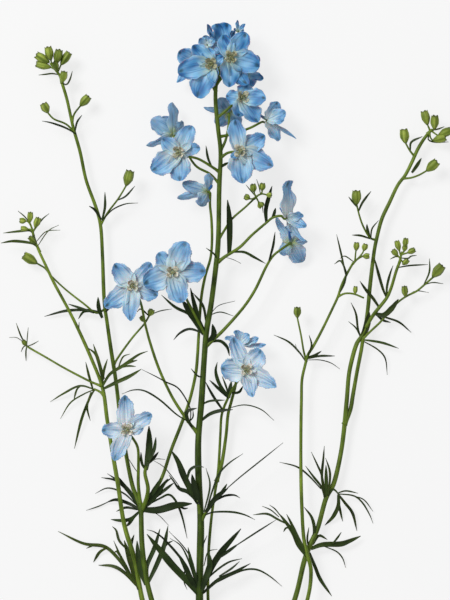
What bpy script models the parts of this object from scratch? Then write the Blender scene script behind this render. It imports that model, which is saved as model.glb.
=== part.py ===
"""A light-blue delphinium plant, cut at ground level and lying on a surface. Metres, +Z up.

Every stem, leaf, bud and flower is placed where the photograph shows it: across and down in photo pixels,
up from the surface in millimetres. One pixel is MM_PER_PIXEL wide, which makes an open flower about 48 mm
across.
"""

import bmesh
import bpy
import numpy as np

MM = 0.001
MM_PER_PIXEL = 0.8  # scale of the photograph at the plant
CENTRE_PX = (226.66, 403.29)  # photo pixel that becomes X = 0, Y = 0
DROP_MM = 0.49  # lowers the whole plant onto Z = 0
LEAF_THICK_MM = 0.75
KEEL_MM = 0.95  # height of a narrow lobe's three-cornered section
SEPAL_THICK_MM = 0.7
HAIR_PX = 1.85  # leaf lobes narrower than this are too fine for a solid
GAP_MM = 0.45  # clear space between one piece and the next
FLOWER_FOOT_MM = 1.6  # how far the stalk ends behind the heart of a flower
CROWN_PX = (207.0, 772.0, 9.0)
CROWN_HALF_MM = (24.0, 12.0, 9.0)

# Half-width of a leaf blade and of a sepal from root to tip, as shares of the widest.
BLADE_AT, BLADE_WIDE = (0.0, 0.3, 0.6, 0.85, 1.0), (0.5, 0.9, 1.0, 0.62, 0.16)
SEPAL_AT, SEPAL_WIDE = (0.0, 0.36, 0.74, 1.0), (0.4, 0.92, 1.0, 0.3)

# Flowers: heart (px, px, mm), the way it faces, sepals (tip px, px, mm, width mm), pale centre seen or not.
FLOWERS = {
    "01": ((211, 65, 35), (-0.1, 0, 1), [(177.5, 72, 36, 18), (196, 98, 33, 19.5), (214.5, 84, 34, 10),
        (193, 46, 34, 14), (206, 49, 32, 12), (223, 57, 33, 10)], True),
    "02": ((230.5, 58.5, 32), (0.15, 0, 1), [(260, 66, 32, 19), (247, 33.5, 30, 16), (230.5, 88.5, 30, 13),
        (246, 86, 27, 14), (222, 36.5, 28, 13.5)], True),
    "03": ((207, 45, 25), (-0.2, 0.2, 1), [(198.5, 40, 28, 7), (206, 35.5, 28, 8), (214.5, 40, 29, 7),
        (213, 51, 26, 8), (200, 52, 27, 8)], False),
    "04": ((221, 46, 17), (0, 0.8, 0.4), [(209, 33, 20, 14), (217, 24, 22, 16), (227, 23, 21, 16),
        (236, 32, 20, 14), (206.5, 24.5, 19, 7)], False),
    "05": ((239, 31, 24), (0.4, 0.5, 0.7), [(237, 20.5, 26, 4), (245, 24, 25, 3.5),
        (244, 33, 24, 6)], False),
    "06": ((242.5, 98.5, 28), (0.35, 0.25, 0.9), [(266, 98, 29, 15), (258, 123, 28, 17), (238, 117, 26, 14),
        (225.5, 96, 25, 13), (247, 83, 22, 13)], True),
    "07": ((240, 152, 32), (-0.1, 0, 1), [(234.5, 120, 32, 14.5), (265, 136, 31, 16), (273, 167, 31, 18),
        (242, 184, 31, 20), (231, 158, 34, 6)], True),
    "08": ((268, 120, 20), (0.6, 0.3, 0.7), [(278, 102, 22, 13), (286, 113, 25, 12), (284, 122, 26, 9),
        (279, 141, 20, 14), (296.5, 138, 13, 4)], False),
    "09": ((228, 112, 8), (-0.2, 0.2, -0.9), [(203, 107.5, 3.6, 5), (219, 97, 3, 12), (242, 103, 4, 12),
        (240, 126, 3, 13), (217, 126, 3, 12)], False),
    "10": ((178.5, 153, 30), (-0.1, -0.1, 1), [(191, 125.5, 30, 15), (200, 147, 29, 11), (162, 139, 30, 13),
        (152, 172, 29, 18), (180, 181.5, 29, 18)], True),
    "11": ((173, 134, 15), (-0.5, 0.5, -0.45), [(173, 102, 14, 11), (151.5, 119, 17, 14),
        (146.5, 147, 13, 9), (184, 122, 9, 11)], False),
    "12": ((194, 61, 17), (-0.5, 0.1, 0.8), [(178, 52, 20, 14), (177, 83, 15, 9),
        (198, 44, 15, 12)], False),
    "13": ((207, 191, 20), (-0.5, 0.1, -0.6), [(182, 184, 21, 10), (208.5, 174, 25, 10),
        (177.5, 198.5, 17, 7), (200, 206.5, 19, 14)], False),
    "14": ((288, 218, 22), (0.7, -0.05, 0.6), [(286, 180, 23, 12), (303, 214, 27, 9), (306, 227, 25, 10),
        (304, 242, 20, 7), (295, 233, 15, 9)], False),
    "15": ((291, 243, 12), (0.2, -0.15, -0.95), [(275.5, 218, 9, 6), (288, 225, 7, 16), (308, 241, 6, 6),
        (302, 263, 7, 15), (280, 254, 8, 11)], False),
    "16": ((172.5, 272.5, 33), (0, 0, 1), [(186, 241.5, 33, 19), (206, 271, 32, 18), (181.5, 303, 33, 18),
        (143.5, 283.5, 32, 20), (158, 253, 33, 14)], True),
    "17": ((133, 286.5, 28), (-0.05, 0, 1), [(113.5, 264.5, 28, 16), (104.5, 307, 28, 16),
        (129.5, 321, 29, 14), (158, 296, 27, 14), (152, 263.5, 26, 13)], True),
    "18": ((246.5, 370, 33), (0, 0, 1), [(232, 337.5, 32, 13), (220.5, 369, 33, 19), (252.5, 397, 34, 12.5),
        (277, 386, 33, 14), (262, 350, 32, 17)], True),
    "19": ((127, 429.5, 33), (0.1, 0, 1), [(125, 394.5, 33, 14.5), (152, 413, 34, 12), (102, 430, 33, 13),
        (114, 460, 33, 14), (144, 429, 31, 9)], True),
    "20": ((241, 343, 18), (0.2, 0.6, 0.6), [(225, 337, 19, 8), (236, 330, 20, 10), (249, 334, 20, 9),
        (266, 346, 18, 6)], False),
    "21": ((247, 73, 17), (0.5, -0.2, 0.7), [(263.5, 79, 19, 7), (251, 88, 16, 12), (259, 56, 16, 10),
        (237, 84, 13, 10)], False),
}

# Stalks: radius mm at foot and tip, then (px, px, mm) points; a flower's number at the end joins its back.
# Blades: width px, mm up at root and tip, then (px, px) points from root to tip.
# Buds: width mm, foot (px, px, mm), tip (px, px, mm).
STEMS = {
    "stem_left_outer": dict(
        stalks=[
            (2.5, 1.05, [(186, 768, 9), (172, 722, 8), (156, 655, 6), (142, 600, 6), (135, 562, 8),
                (126, 532, 11), (122, 513, 13), (118, 485, 14), (112, 450, 14), (107, 419, 13),
                (102.5, 388, 13), (91, 358, 13), (78.5, 330, 13), (67, 307, 13), (54, 283, 13),
                (45, 264, 13), (38, 249, 13), (33.5, 236, 13)]),
            (0.9, 0.8, [(101, 386, 13), (88, 380.5, 12), (64, 368, 10), (45, 357, 8), (30, 348.5, 6),
                (25, 345, 5)]),
            (1, 0.8, [(104, 396, 13), (100, 392, 12), (94, 389, 11)]),
            (0.8, 0.7, [(40, 252, 13), (38, 247, 14), (36, 243, 14.5)]),
        ],
        blades=[
            (2.3, 11, 1, [(94.5, 389.5), (79.6, 386), (63.3, 393.7), (50, 402)]),
            (2.1, 10, 4, [(80, 386.5), (76.5, 390), (73.5, 400)]),
            (1.7, 11, 1, [(94.5, 389.5), (84, 394), (70, 403), (60, 419)]),
            (3.1, 11, 2, [(94.5, 389.5), (89, 399), (81, 420), (74, 449)]),
            (2.3, 11, 4, [(91, 392), (87, 407), (90, 421)]),
            (2.6, 11, 16, [(93, 390), (89, 376), (85.7, 362)]),
            (3.1, 14, 18, [(103, 384), (101, 372), (96, 355), (87, 347)]),
            (3.2, 15, 20, [(104, 379), (99, 362), (93.4, 344)]),
            (2.8, 15, 18, [(103, 380), (104, 370), (107.5, 359)]),
            (3.5, 14, 20, [(102, 387), (110, 374), (124, 365), (138, 355), (148, 351)]),
            (1.8, 16, 20, [(118, 368.5), (123, 357), (130, 354)]),
            (2.4, 16, 19, [(124, 365), (131, 362), (137.5, 360)]),
            (2.4, 16, 19, [(120, 367.5), (128, 366), (136, 366.5)]),
            (4.1, 14, 18, [(103, 389), (116, 382.5), (130, 376), (141.5, 369)]),
            (1.7, 5, 8, [(26.5, 345.5), (21, 337), (15.8, 323)]),
            (0.8, 5, 2, [(26.5, 345.5), (17, 338), (8.7, 337.6)]),
            (1.2, 5, 9, [(26.5, 345.5), (27, 338), (28, 327.5)]),
            (1.2, 6, 7, [(27, 346.3), (32, 344.5), (38.3, 341)]),
            (1.3, 5, 1, [(26.5, 345.5), (23, 347), (20.5, 352)]),
            (1.7, 5, 1, [(26.5, 345.5), (25.5, 352), (25.5, 361)]),
            (3.1, 14, 12, [(37, 246.5), (31, 243), (14, 241), (0.5, 243)]),
            (2.5, 14, 10, [(35, 240), (31, 231), (21, 231), (3, 233)]),
            (1.1, 14, 9, [(37, 247), (48, 231), (58.5, 225)]),
            (1.1, 14, 8, [(36, 242), (46, 231.5), (60, 230)]),
            (1.6, 13, 10, [(83, 339.5), (79, 331), (79, 322)]),
            (3.7, 6, 1, [(139, 590), (129, 574), (117, 558), (104, 547), (83, 544), (57.5, 532)]),
            (3.3, 5, 1, [(106, 548.5), (99, 553), (93, 563)]),
            (2.5, 5, 3, [(105, 547.5), (96, 545), (86, 549)]),
            (3.8, 6, 1, [(136, 586), (125, 574), (113, 567), (98, 566)]),
            (2.8, 7, 9, [(136, 586), (126, 567), (120, 556), (113.5, 541)]),
            (2.8, 7, 6, [(121, 558), (117, 552), (114, 553)]),
            (6.5, 7, 5, [(139, 590), (133, 570), (128.5, 556), (124, 541)]),
            (3.4, 6, 7, [(129, 556), (131, 544), (134, 535)]),
            (2.8, 6, 4, [(126, 549), (119, 541), (116, 531), (112, 527)]),
        ],
        buds=[
            (4, (36, 243.5, 15), (29, 236.8, 17)), (3.6, (26, 346, 5.5), (22.6, 340.4, 7)),
        ],
    ),
    "stem_left_inner": dict(
        stalks=[
            (2.4, 2, [(196, 768, 11), (186, 722, 12), (168, 655, 14), (151.6, 600, 14), (146, 576, 14),
                (142, 545, 13), (141, 512, 11), (140, 503, 10)]),
            (1.75, 1.25, [(141, 510, 10), (136, 496, 8), (132, 485, 7), (126.5, 458, 6), (120.3, 419, 6),
                (115.5, 380, 6), (111, 351, 7), (107, 323, 8), (104, 300, 9), (102.4, 257, 10),
                (100.5, 226, 10), (95.7, 207, 10), (86, 180, 10), (80, 152, 10), (73, 127, 10),
                (67, 100, 10), (62, 83, 11)]),
            (1.4, 1, [(140.5, 506, 10), (138.3, 485, 13), (138.5, 465, 18), (138, 448, 24), (133, 438, 28),
                "19"]),
            (1.5, 1, [(141, 509, 10), (148, 503, 7), (156, 489, 5.5), (163, 475, 5), (171.2, 450, 4.5),
                (181, 425, 4.5), (189.4, 401, 4.5), (195.5, 375, 5), (197.5, 355, 5), (198.5, 338, 5),
                (201, 300, 7), (205, 277, 9), (210.5, 258, 11), (212, 240, 12), (211.5, 220, 12),
                (210, 205, 13), "13"]),
            (0.9, 0.8, [(113, 368, 6), (117, 359, 7), (131.6, 338.6, 8), (143.9, 324.3, 9),
                (149, 316, 11)]),
            (0.8, 0.7, [(101, 224, 10), (108, 212, 12), (118, 199, 14), (126, 186, 16)]),
            (0.8, 0.7, [(74, 132, 10), (66, 124, 11), (54, 119, 12), (48, 113, 13)]),
            (0.8, 0.7, [(72, 122, 10), (74, 114, 11), (80, 106, 12)]),
            (0.8, 0.7, [(105, 309, 9), (96, 313, 10), (84, 304, 10), (66, 290, 8), (52, 277, 7),
                (45, 268.5, 7), (40.5, 265.5, 7.5), (37, 263.5, 8.5)]),
            (1.7, 1.4, [(141, 512, 10), (146, 500, 13), (148, 488, 15), (145, 474, 16), (146, 466, 16)]),
        ],
        blades=[
            (3, 10, 3, [(100, 312), (85, 310), (65, 311), (44, 316.5)]),
            (2.7, 11, 8, [(94, 313), (84, 309.5), (68, 304)]),
            (2.5, 10, 4, [(90, 311.5), (83, 312), (78, 319)]),
            (4.5, 10, 15, [(102, 318), (98.5, 308), (98, 297)]),
            (2.8, 12, 10, [(105.5, 312), (117, 300), (128, 299)]),
            (2.8, 11, 17, [(102, 220), (105, 207), (105, 192)]),
            (2.8, 11, 15, [(101, 219), (95, 210), (89, 206)]),
            (1.5, 11, 17, [(102, 221), (112, 210), (125, 204), (138, 203)]),
            (2.1, 11, 16, [(76, 134), (66, 128), (52, 123), (42, 121)]),
            (2.1, 11, 15, [(75, 131), (77, 122), (82, 115)]),
            (2.1, 12, 16, [(118, 200), (126, 196), (135, 186)]),
            (1.8, 12, 15, [(149, 316), (141, 309), (137, 312)]),
            (1.2, 12, 14, [(150, 315), (160, 311), (172, 309)]),
            (8.1, 11, 7, [(142, 510), (158, 510.5), (175, 506), (192, 504)]),
            (2.3, 7, 4, [(178, 506), (184, 509), (188, 508.5)]),
            (5.7, 11, 9, [(143, 508), (151, 501), (160, 489), (167.5, 479)]),
            (3.4, 9, 7, [(155, 498), (165, 490), (174, 483)]),
            (2.6, 9, 6, [(158, 494), (165, 483), (172, 478)]),
            (2.4, 10, 1, [(146, 506), (160, 498.5), (169, 495), (176, 502), (182, 517), (187, 539)]),
            (0.8, 9, 2, [(150, 511), (159, 516), (168.5, 526)]),
            (4.9, 10, 13, [(145, 506), (150, 497), (156, 487), (161, 478)]),
            (7.1, 16, 16, [(146, 470), (148, 458), (149.5, 444), (149, 426)]),
            (3.9, 16, 18, [(148, 462), (153, 453), (155, 446), (156, 437)]),
            (3.4, 16, 13, [(148, 464), (153.5, 458), (158.5, 452)]),
            (0.9, 16, 14, [(149, 463), (156, 459), (165, 459.5)]),
            (3.1, 16, 19, [(146, 470), (142, 463), (141, 452)]),
            (0.9, 12, 14, [(138.5, 474), (133, 466), (127.5, 457)]),
            (4.4, 10, 6, [(140, 508), (132, 496), (124, 486), (117, 476)]),
            (2.5, 9, 4, [(137, 503), (129, 490), (118, 481), (107, 474)]),
            (2.4, 8, 2, [(128, 492), (116, 481), (101, 478)]),
            (1.9, 9, 2, [(138, 507), (124, 494), (108, 488.5), (95, 494)]),
            (3.7, 10, 2, [(139, 509), (128, 503.5), (116, 500), (106, 503)]),
            (1.4, 2.5, 1, [(109, 502), (98, 507), (86, 511)]),
            (2.8, 9, 2, [(138, 510), (126, 508), (116, 512)]),
            (3.9, 10, 3, [(139, 512), (131, 519), (122, 521), (110.5, 520)]),
            (3.4, 9, 3, [(135, 516), (129, 524), (126, 527)]),
            (4.7, 14, 11, [(147.5, 580), (147, 566), (154, 549), (160, 529)]),
            (5.1, 14, 13, [(148, 583), (157, 564), (164, 546), (168, 526)]),
            (2.8, 12, 10, [(160, 555), (166, 545), (173, 541)]),
            (6, 14, 12, [(146, 585), (140.5, 570), (138, 554), (137, 541)]),
        ],
        buds=[
            (7, (37, 263.5, 8.5), (23, 254.8, 10)), (7.3, (126, 186, 16), (130.5, 170.3, 18)),
            (6.4, (48, 113, 13), (43, 102.9, 14)), (6.4, (80, 106, 12), (89, 95.9, 13)),
            (5, (149, 316, 11), (152.4, 309.3, 12)), (3.9, (145, 322, 9.5), (140.5, 316.4, 11)),
        ],
    ),
    "stem_centre": dict(
        stalks=[
            (3.5, 1.5, [(205.5, 768, 9), (203, 715, 10), (201, 655, 11), (199.5, 600, 12), (200, 562, 12.5),
                (200.7, 520, 13), (198.6, 478, 13), (198.3, 440, 13), (201.5, 401, 13.5), (204, 362, 14),
                (206.5, 331, 15), (211, 305, 16), (215.5, 270, 17), (218.3, 240, 18), (219.2, 190, 19),
                (220.6, 154, 20), (218, 128, 20), (215.7, 104, 20), (216, 86, 20), (220, 68, 18),
                (224, 55, 16)]),
            (1.3, 0.95, [(198, 434, 13), (190, 424, 13), (178, 406.7, 13), (169.8, 392.6, 12),
                (159, 369, 13), (150.5, 344, 15), (145.2, 324, 18), (141.5, 305, 22), (137, 294, 24),
                "17"]),
            (1.2, 0.9, [(206.5, 337, 15), (198, 321, 18), (186, 298, 23), (177, 279, 28), "16"]),
            (1.4, 0.95, [(204.5, 348, 14), (213, 340, 15), (224, 329.5, 16), (243, 308, 17), (255, 290, 18),
                (266, 267, 19), (273, 256, 20), (281, 249.5, 21), (289, 244, 20), "15"]),
            (1.3, 0.95, [(218, 262, 17), (226, 256, 18), (240, 247, 18), (252, 235, 19), (266, 223, 19),
                (273, 217.5, 20), (281, 216, 21), "14"]),
            (1, 0.8, [(218.5, 240, 18), (224, 231, 19), (232, 219, 20), (245, 207.5, 21), (254, 199, 21)]),
            (1.1, 0.9, [(219.3, 172, 19), (212, 167, 21), (198, 159, 24), (184, 156, 26), "10"]),
            (1, 0.9, [(219.3, 184, 19), (210, 174, 18), (196, 166, 17), (185, 150, 14), (179, 140, 13),
                "11"]),
            (1.1, 0.9, [(220.4, 158, 20), (228, 153, 22), (237, 152, 26), "07"]),
            (1.1, 0.9, [(217, 118, 20), (226, 111, 22), (234, 104, 23), "06"]),
            (1.1, 0.9, [(219, 137, 20), (233, 134, 18), (250, 128, 17), (262, 122, 18), "08"]),
            (1.1, 0.9, [(220.8, 150, 20), (225, 142, 19), (228, 130, 17), (229, 120, 15), "09"]),
            (1.2, 0.9, [(216, 92, 20), (212, 84, 23), (209, 74, 29), "01"]),
            (1.2, 0.9, [(216.5, 84, 19), (223, 76, 22), (228, 66, 25), "02"]),
            (0.9, 0.8, [(220, 70, 18), (213, 62, 16), (209, 55, 16), "03"]),
            (0.9, 0.8, [(224, 56, 16), (223, 48, 14), "04"]),
            (0.9, 0.8, [(223, 58, 17), (231, 46, 16), (236, 38, 18), "05"]),
            (0.9, 0.8, [(216, 84, 20), (209, 76, 14), (203, 66, 11), "12"]),
            (0.9, 0.8, [(218, 78, 19), (229, 76, 14), (238, 74, 12), "21"]),
            (1.4, 1.2, [(200.4, 524, 13), (203.5, 517, 15), (207, 511, 17)]),
            (1.4, 1.2, [(200, 516, 13), (199, 508, 16), (197.5, 500, 18)]),
            (1.2, 1, [(198.2, 434, 13), (194, 428, 15), (187, 421, 17)]),
        ],
        blades=[
            (6.7, 18, 20, [(198, 503), (191, 490), (184, 476), (178, 461), (171, 450)]),
            (6.2, 18, 21, [(198.5, 504), (197, 494), (194, 484), (192, 474)]),
            (3.1, 20, 24, [(187, 480), (190, 470), (197, 466), (204, 467)]),
            (4.4, 18, 18, [(196, 500), (188, 492), (180, 489), (174, 483)]),
            (1, 18, 20, [(182, 490), (174, 479), (164, 467), (153, 460)]),
            (1.7, 18, 15, [(178, 487), (172, 479), (169, 475)]),
            (2, 17, 15, [(204, 512), (210, 486), (206, 468)]),
            (2.1, 18, 21, [(206, 512), (212, 492), (219, 474), (229, 463), (243, 453.5)]),
            (5.5, 18, 21, [(206, 512), (213, 501), (220, 494), (228, 488)]),
            (1.5, 20, 24, [(224, 491), (240, 477), (260, 461), (283, 442.5)]),
            (3.1, 18, 22, [(218, 496), (223, 490), (227, 483.5)]),
            (2.5, 18, 14, [(213, 502), (224, 496), (234, 495), (240, 498)]),
            (2.3, 17, 10, [(205, 515), (214, 512), (232, 512), (245, 515), (255, 520)]),
            (2, 17, 20, [(187, 421), (176, 414), (160, 400), (145, 391), (133, 390), (122, 394)]),
            (1.6, 17, 20, [(190, 423), (190, 408), (179, 389), (166, 382), (155, 376), (142, 369.5)]),
            (3.9, 17, 21, [(192, 427), (187, 417), (188, 411), (197, 408)]),
            (1.6, 17, 20, [(189, 422), (193, 417), (193, 410)]),
            (3.9, 13, 22, [(201, 421), (210, 414), (221, 410.5), (233, 409.5)]),
            (2.5, 13, 22, [(201.5, 405), (210, 401), (225, 400)]),
            (8.6, 15, 20, [(204.5, 334), (197, 321), (190, 311), (182, 300)]),
            (5.2, 15, 22, [(205, 335), (200, 324), (195, 306), (190.5, 288)]),
            (2.9, 15, 23, [(206, 322), (203, 306), (193, 293)]),
            (3.3, 15, 24, [(202, 330), (190, 315), (175, 307), (161.5, 295)]),
            (2.7, 15, 10, [(203, 333), (190, 329), (180, 333), (173.5, 340)]),
            (0.8, 15, 19, [(208, 318), (218, 306), (235, 301)]),
            (1.3, 15, 18, [(208, 316), (220, 312), (233.5, 316)]),
            (6, 15, 18, [(207, 343), (213.5, 335), (212.5, 324)]),
            (3.4, 15, 12, [(210, 342), (220, 341), (227, 347), (229.5, 356)]),
            (1.9, 15, 17, [(205, 377), (198, 376), (191, 368.5)]),
            (6.3, 18, 24, [(229, 254), (229.5, 238), (229.3, 220), (227.5, 200)]),
            (2.9, 18, 15, [(232, 252), (244, 252), (254, 257), (265.5, 263.5)]),
            (0.7, 17, 14, [(224, 257), (233, 259.5), (241, 263.5)]),
            (4.6, 19, 18.5, [(266.3, 222.5), (265.6, 210), (268.4, 198), (272, 186)]),
            (3.3, 19, 23, [(272, 218.5), (274, 214), (275.5, 208)]),
            (2.6, 20, 24, [(269, 260.5), (273, 246), (275, 232)]),
            (1.8, 18, 22, [(219, 262), (214, 254), (206, 248)]),
            (3.1, 20, 25, [(220.6, 167.5), (224, 165), (229, 162.5)]),
            (2.6, 20, 24, [(212, 167.5), (208, 158), (206, 146)]),
            (7.6, 13, 20, [(198, 594), (187, 581), (172, 565), (159, 549), (147, 534)]),
            (2.7, 13, 21, [(197, 592), (184, 563), (166, 541), (155, 532), (147, 529.5)]),
            (1.4, 13, 22, [(198, 590), (192, 562), (184, 547), (169, 531)]),
            (1.8, 13, 19, [(197, 588), (189, 562), (181, 546), (170, 538)]),
            (5.5, 13, 18, [(198, 592), (191, 579), (185, 566), (178, 553)]),
            (4.2, 13, 20, [(199, 588), (194.5, 574), (191, 561), (188, 547)]),
            (1.8, 12, 6, [(191, 581), (185, 571), (184, 582), (187, 590)]),
            (6.8, 14, 19, [(201, 592), (206, 578), (210, 565), (209, 552)]),
            (6.7, 14, 20, [(201, 592), (211, 568), (221, 552), (231, 540), (241, 528.5)]),
            (3.4, 16, 20, [(217, 559), (227, 552), (238.6, 543.5)]),
            (1.8, 18, 23, [(236, 545.5), (255, 533), (276, 519.5)]),
            (2.2, 14, 18, [(206, 580), (217, 570), (229, 562), (242, 558.5)]),
            (2.3, 14, 16, [(219, 576.5), (231, 569), (239.5, 561.5)]),
            (3.9, 13, 14, [(202, 594), (218, 580), (233, 573), (250.5, 563.5)]),
            (2.1, 12, 3, [(212, 585), (232, 575), (246, 570), (258, 570.5), (270, 577), (282, 587)]),
            (1.3, 14, 20, [(204, 566), (208, 552), (217.5, 549)]),
            (1.5, 13, 17, [(201.5, 552), (203.5, 544), (207, 535.5)]),
        ],
        buds=[],
    ),
    "stem_centre_pair": dict(
        stalks=[
            (1.4, 1, [(214, 768, 6), (213, 722, 5), (211, 655, 4), (208, 600, 4), (208.4, 560, 4),
                (209, 545, 4), (211.2, 520, 5), (214, 499, 6), (218.2, 471, 7), (220.3, 436, 9),
                (221.7, 415, 12), (227.3, 399.6, 17), (235, 385, 22), (242, 376, 27), "18"]),
            (1.5, 1, [(216.5, 482, 7), (221.7, 464.2, 8), (226, 436, 8), (228, 415, 9), (231.5, 401, 11),
                (235.7, 384.2, 13), (238, 365, 14), (238, 352, 14), "20"]),
        ],
        blades=[
            (2.9, 13, 18, [(224, 412), (213, 396), (205, 381)]),
            (1.3, 12, 14, [(229, 408), (245, 405), (261, 409.5), (274, 420.5)]),
            (3.1, 18, 21, [(228.5, 398), (219, 389), (209.5, 380)]),
            (3.7, 18, 23, [(229, 397), (220, 385), (215.8, 372), (217.3, 362)]),
            (2.1, 18, 21, [(229, 397), (226, 386), (222, 376)]),
            (4.4, 18, 19, [(229, 398), (230, 390), (231.5, 381)]),
            (2.9, 18, 15, [(232, 393), (239, 392), (243, 386)]),
        ],
        buds=[],
    ),
    "stem_right_tall": dict(
        stalks=[
            (2.4, 1.35, [(221, 768, 8), (242, 722, 8), (274, 655, 8), (294.8, 600, 8), (303.8, 563.6, 8),
                (310, 545.7, 8), (318, 528, 8), (326, 499, 8), (334, 483.6, 8), (340.4, 456.8, 8),
                (344, 432, 8), (347, 399.5, 9), (349.5, 372, 9), (356, 346, 9), (362, 336, 9),
                (365.8, 325, 9), (368.5, 305, 9), (370, 288, 9), (374, 254, 9), (377, 238, 9),
                (382, 219, 9), (389.7, 202.4, 9), (398, 185, 9), (405.5, 175, 9), (412, 162.3, 9),
                (418, 149, 9), (424, 139, 9), (428, 134, 9)]),
            (1.75, 1.45, [(344.5, 425, 8), (350.5, 410, 7), (353.2, 395, 7), (357.5, 370.7, 7),
                (361.5, 350, 8), (363.5, 336, 9)]),
            (1.5, 1.2, [(365.8, 327, 9), (373.7, 314.6, 11), (379.3, 307.5, 12), (387, 297.5, 13),
                (391.5, 287, 14), (396, 272, 14), (399.5, 262.5, 14)]),
            (0.9, 0.8, [(363, 339, 9), (371, 331, 11), (380, 322.5, 12), (390, 311, 11), (399, 301.5, 11),
                (408, 295.5, 11), (417, 291, 11), (426, 283.5, 11), (433.5, 277, 11)]),
            (0.8, 0.7, [(376.5, 240, 9), (369.8, 237.3, 11), (363, 225.7, 13), (359, 214, 14),
                (356.7, 204, 14)]),
            (0.8, 0.7, [(403, 178.5, 9), (411, 177.7, 11), (419, 175, 12), (427, 170.5, 13)]),
            (0.8, 0.7, [(415, 156.5, 9), (410, 150.4, 11), (406, 143.5, 12)]),
        ],
        blades=[
            (2.5, 9, 12, [(325, 500), (322, 488), (313.6, 477), (305.5, 466)]),
            (2.3, 9, 14, [(326, 498), (322, 476), (317, 464), (311.3, 452)]),
            (2.8, 9, 16, [(326, 498), (322, 478), (323.4, 458), (324.3, 446)]),
            (2.5, 10, 15, [(328, 496), (330, 480), (329.6, 470), (325.6, 458)]),
            (3.9, 9, 13, [(327, 498), (326.3, 482), (326, 465)]),
            (2, 9, 4, [(321, 489), (309, 476), (297, 467), (279.6, 462.5)]),
            (2.3, 9, 10, [(326, 500), (333, 489.5), (340, 496)]),
            (1.8, 10, 12, [(337, 493.5), (346, 491), (358.2, 493.4)]),
            (1.9, 10, 1, [(338, 494), (353.8, 496), (362.7, 503), (369.8, 514.8), (373.5, 524)]),
            (1.3, 8, 2, [(352, 496), (364, 500), (373.4, 512)]),
            (3.1, 10, 1, [(338, 494), (345, 503), (353, 514), (357.3, 531.5)]),
            (2.7, 9, 1, [(338.5, 495), (339.5, 506), (343, 522)]),
            (4.2, 10, 1, [(338.5, 495), (338.5, 506), (333.5, 517), (325.2, 526)]),
            (3.4, 8, 12, [(311, 549), (314.5, 532), (312, 518), (304, 507)]),
            (2.1, 8, 11, [(310, 550), (307.5, 540), (309, 527.5)]),
            (2.9, 8, 6, [(313, 545), (319, 536), (327.5, 540)]),
            (5.7, 8, 5, [(311, 549), (322.5, 545), (340.4, 544.4), (350, 541.3), (361, 536.5)]),
            (2.2, 7, 9, [(332, 545), (337, 539), (341.5, 532.5)]),
            (1.6, 7, 1, [(325, 547), (336.8, 552), (343, 559), (346, 568.5)]),
            (3.9, 8, 1, [(309.5, 553), (315.4, 568), (320.7, 580.5), (332, 597)]),
            (2.5, 9, 13, [(361.5, 339), (358, 329), (356, 314), (351, 302.5)]),
            (1.6, 9, 12, [(361, 338), (356, 328), (348.5, 321.5)]),
            (7.3, 9, 11, [(362.5, 338), (366.5, 326), (369.5, 312)]),
            (2.7, 9, 6, [(363, 340), (372, 341), (384, 343.3), (399, 348.5)]),
            (1.7, 9, 2, [(363, 341), (377.9, 349.6), (385.6, 358.8), (387.7, 375)]),
            (5.8, 11, 15, [(376, 314), (384, 315), (392, 308), (398.5, 299)]),
            (2.7, 11, 8, [(376, 314), (383, 320), (391, 322.5)]),
            (2.3, 11, 4, [(378, 315.5), (388, 318), (400, 322.5), (411.6, 332.5)]),
            (3.4, 11, 16, [(379.5, 308), (373.5, 299), (366, 290), (359.8, 281)]),
            (3.1, 13, 17, [(387, 298), (383, 289), (378, 272), (374, 257)]),
            (2.6, 13, 18, [(387, 298), (387, 287), (390, 274), (393, 265.5)]),
            (1.8, 14, 13, [(398, 267.5), (410, 265.5), (428, 264.5)]),
            (2, 11, 15, [(424, 285), (429.5, 272), (429.5, 258.5)]),
            (1.1, 11, 8, [(406, 297), (416, 291), (429, 292.5)]),
            (3, 11, 16, [(370, 238), (367.3, 228), (367, 224)]),
            (1.7, 11, 17, [(371, 239.5), (372, 229), (378.5, 220.5)]),
            (2.4, 11, 13, [(370, 238.5), (361, 235.5), (352, 235)]),
            (2.6, 14, 18, [(358.7, 211), (362, 203.5), (366.5, 197), (371, 191.3)]),
            (3.9, 10, 15, [(412, 172.5), (416.5, 166), (421.5, 158)]),
            (2.4, 11, 16, [(410.5, 150), (411.5, 142), (422.5, 136.5)]),
            (2, 14, 16, [(357, 207), (352.5, 201.5), (348.6, 196.8)]),
            (1.3, 11, 9, [(424, 285), (433, 282.5), (443.5, 283.8)]),
        ],
        buds=[
            (7, (356.5, 205, 14), (356.6, 190, 15)), (7.2, (426.5, 171, 13), (437.9, 161.2, 14)),
            (6.8, (405.9, 143.5, 12), (403.7, 128.6, 13)), (7.4, (432.6, 277.2, 11), (442.9, 265, 12)),
            (4.8, (405.5, 297, 11.5), (404.4, 285.8, 13)),
        ],
    ),
    "stem_right_thin": dict(
        stalks=[
            (2, 0.95, [(228, 768, 11), (256, 722, 14), (290, 655, 15), (307.3, 600, 15), (311, 572, 15),
                (307.5, 555, 15), (303.8, 538, 14), (302, 510, 13), (301, 474, 12), (301, 430, 12),
                (301.5, 399, 12), (302, 380, 12), (305, 366, 12), (308, 355, 12), (313.5, 346, 13),
                (322.6, 329, 14), (331.8, 310, 15), (337.8, 297, 15), (341.6, 285.4, 15), (347.4, 273, 16),
                (352.5, 264, 16)]),
            (0.8, 0.7, [(306.5, 362, 12), (303.5, 350, 13), (301, 335, 14), (297.4, 318, 14)]),
            (0.8, 0.7, [(337.5, 297, 15), (345, 293.5, 16), (354, 294, 16), (364, 298, 15)]),
        ],
        blades=[
            (2.1, 12, 6, [(306, 362), (300, 353), (289, 342), (274, 335)]),
            (0.7, 11, 13, [(298.5, 351), (296.5, 348), (295.5, 344)]),
            (2, 13, 17, [(308, 355), (311.5, 345), (309, 335)]),
            (2.8, 12, 15, [(308.5, 357), (315, 355), (321.5, 351)]),
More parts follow.
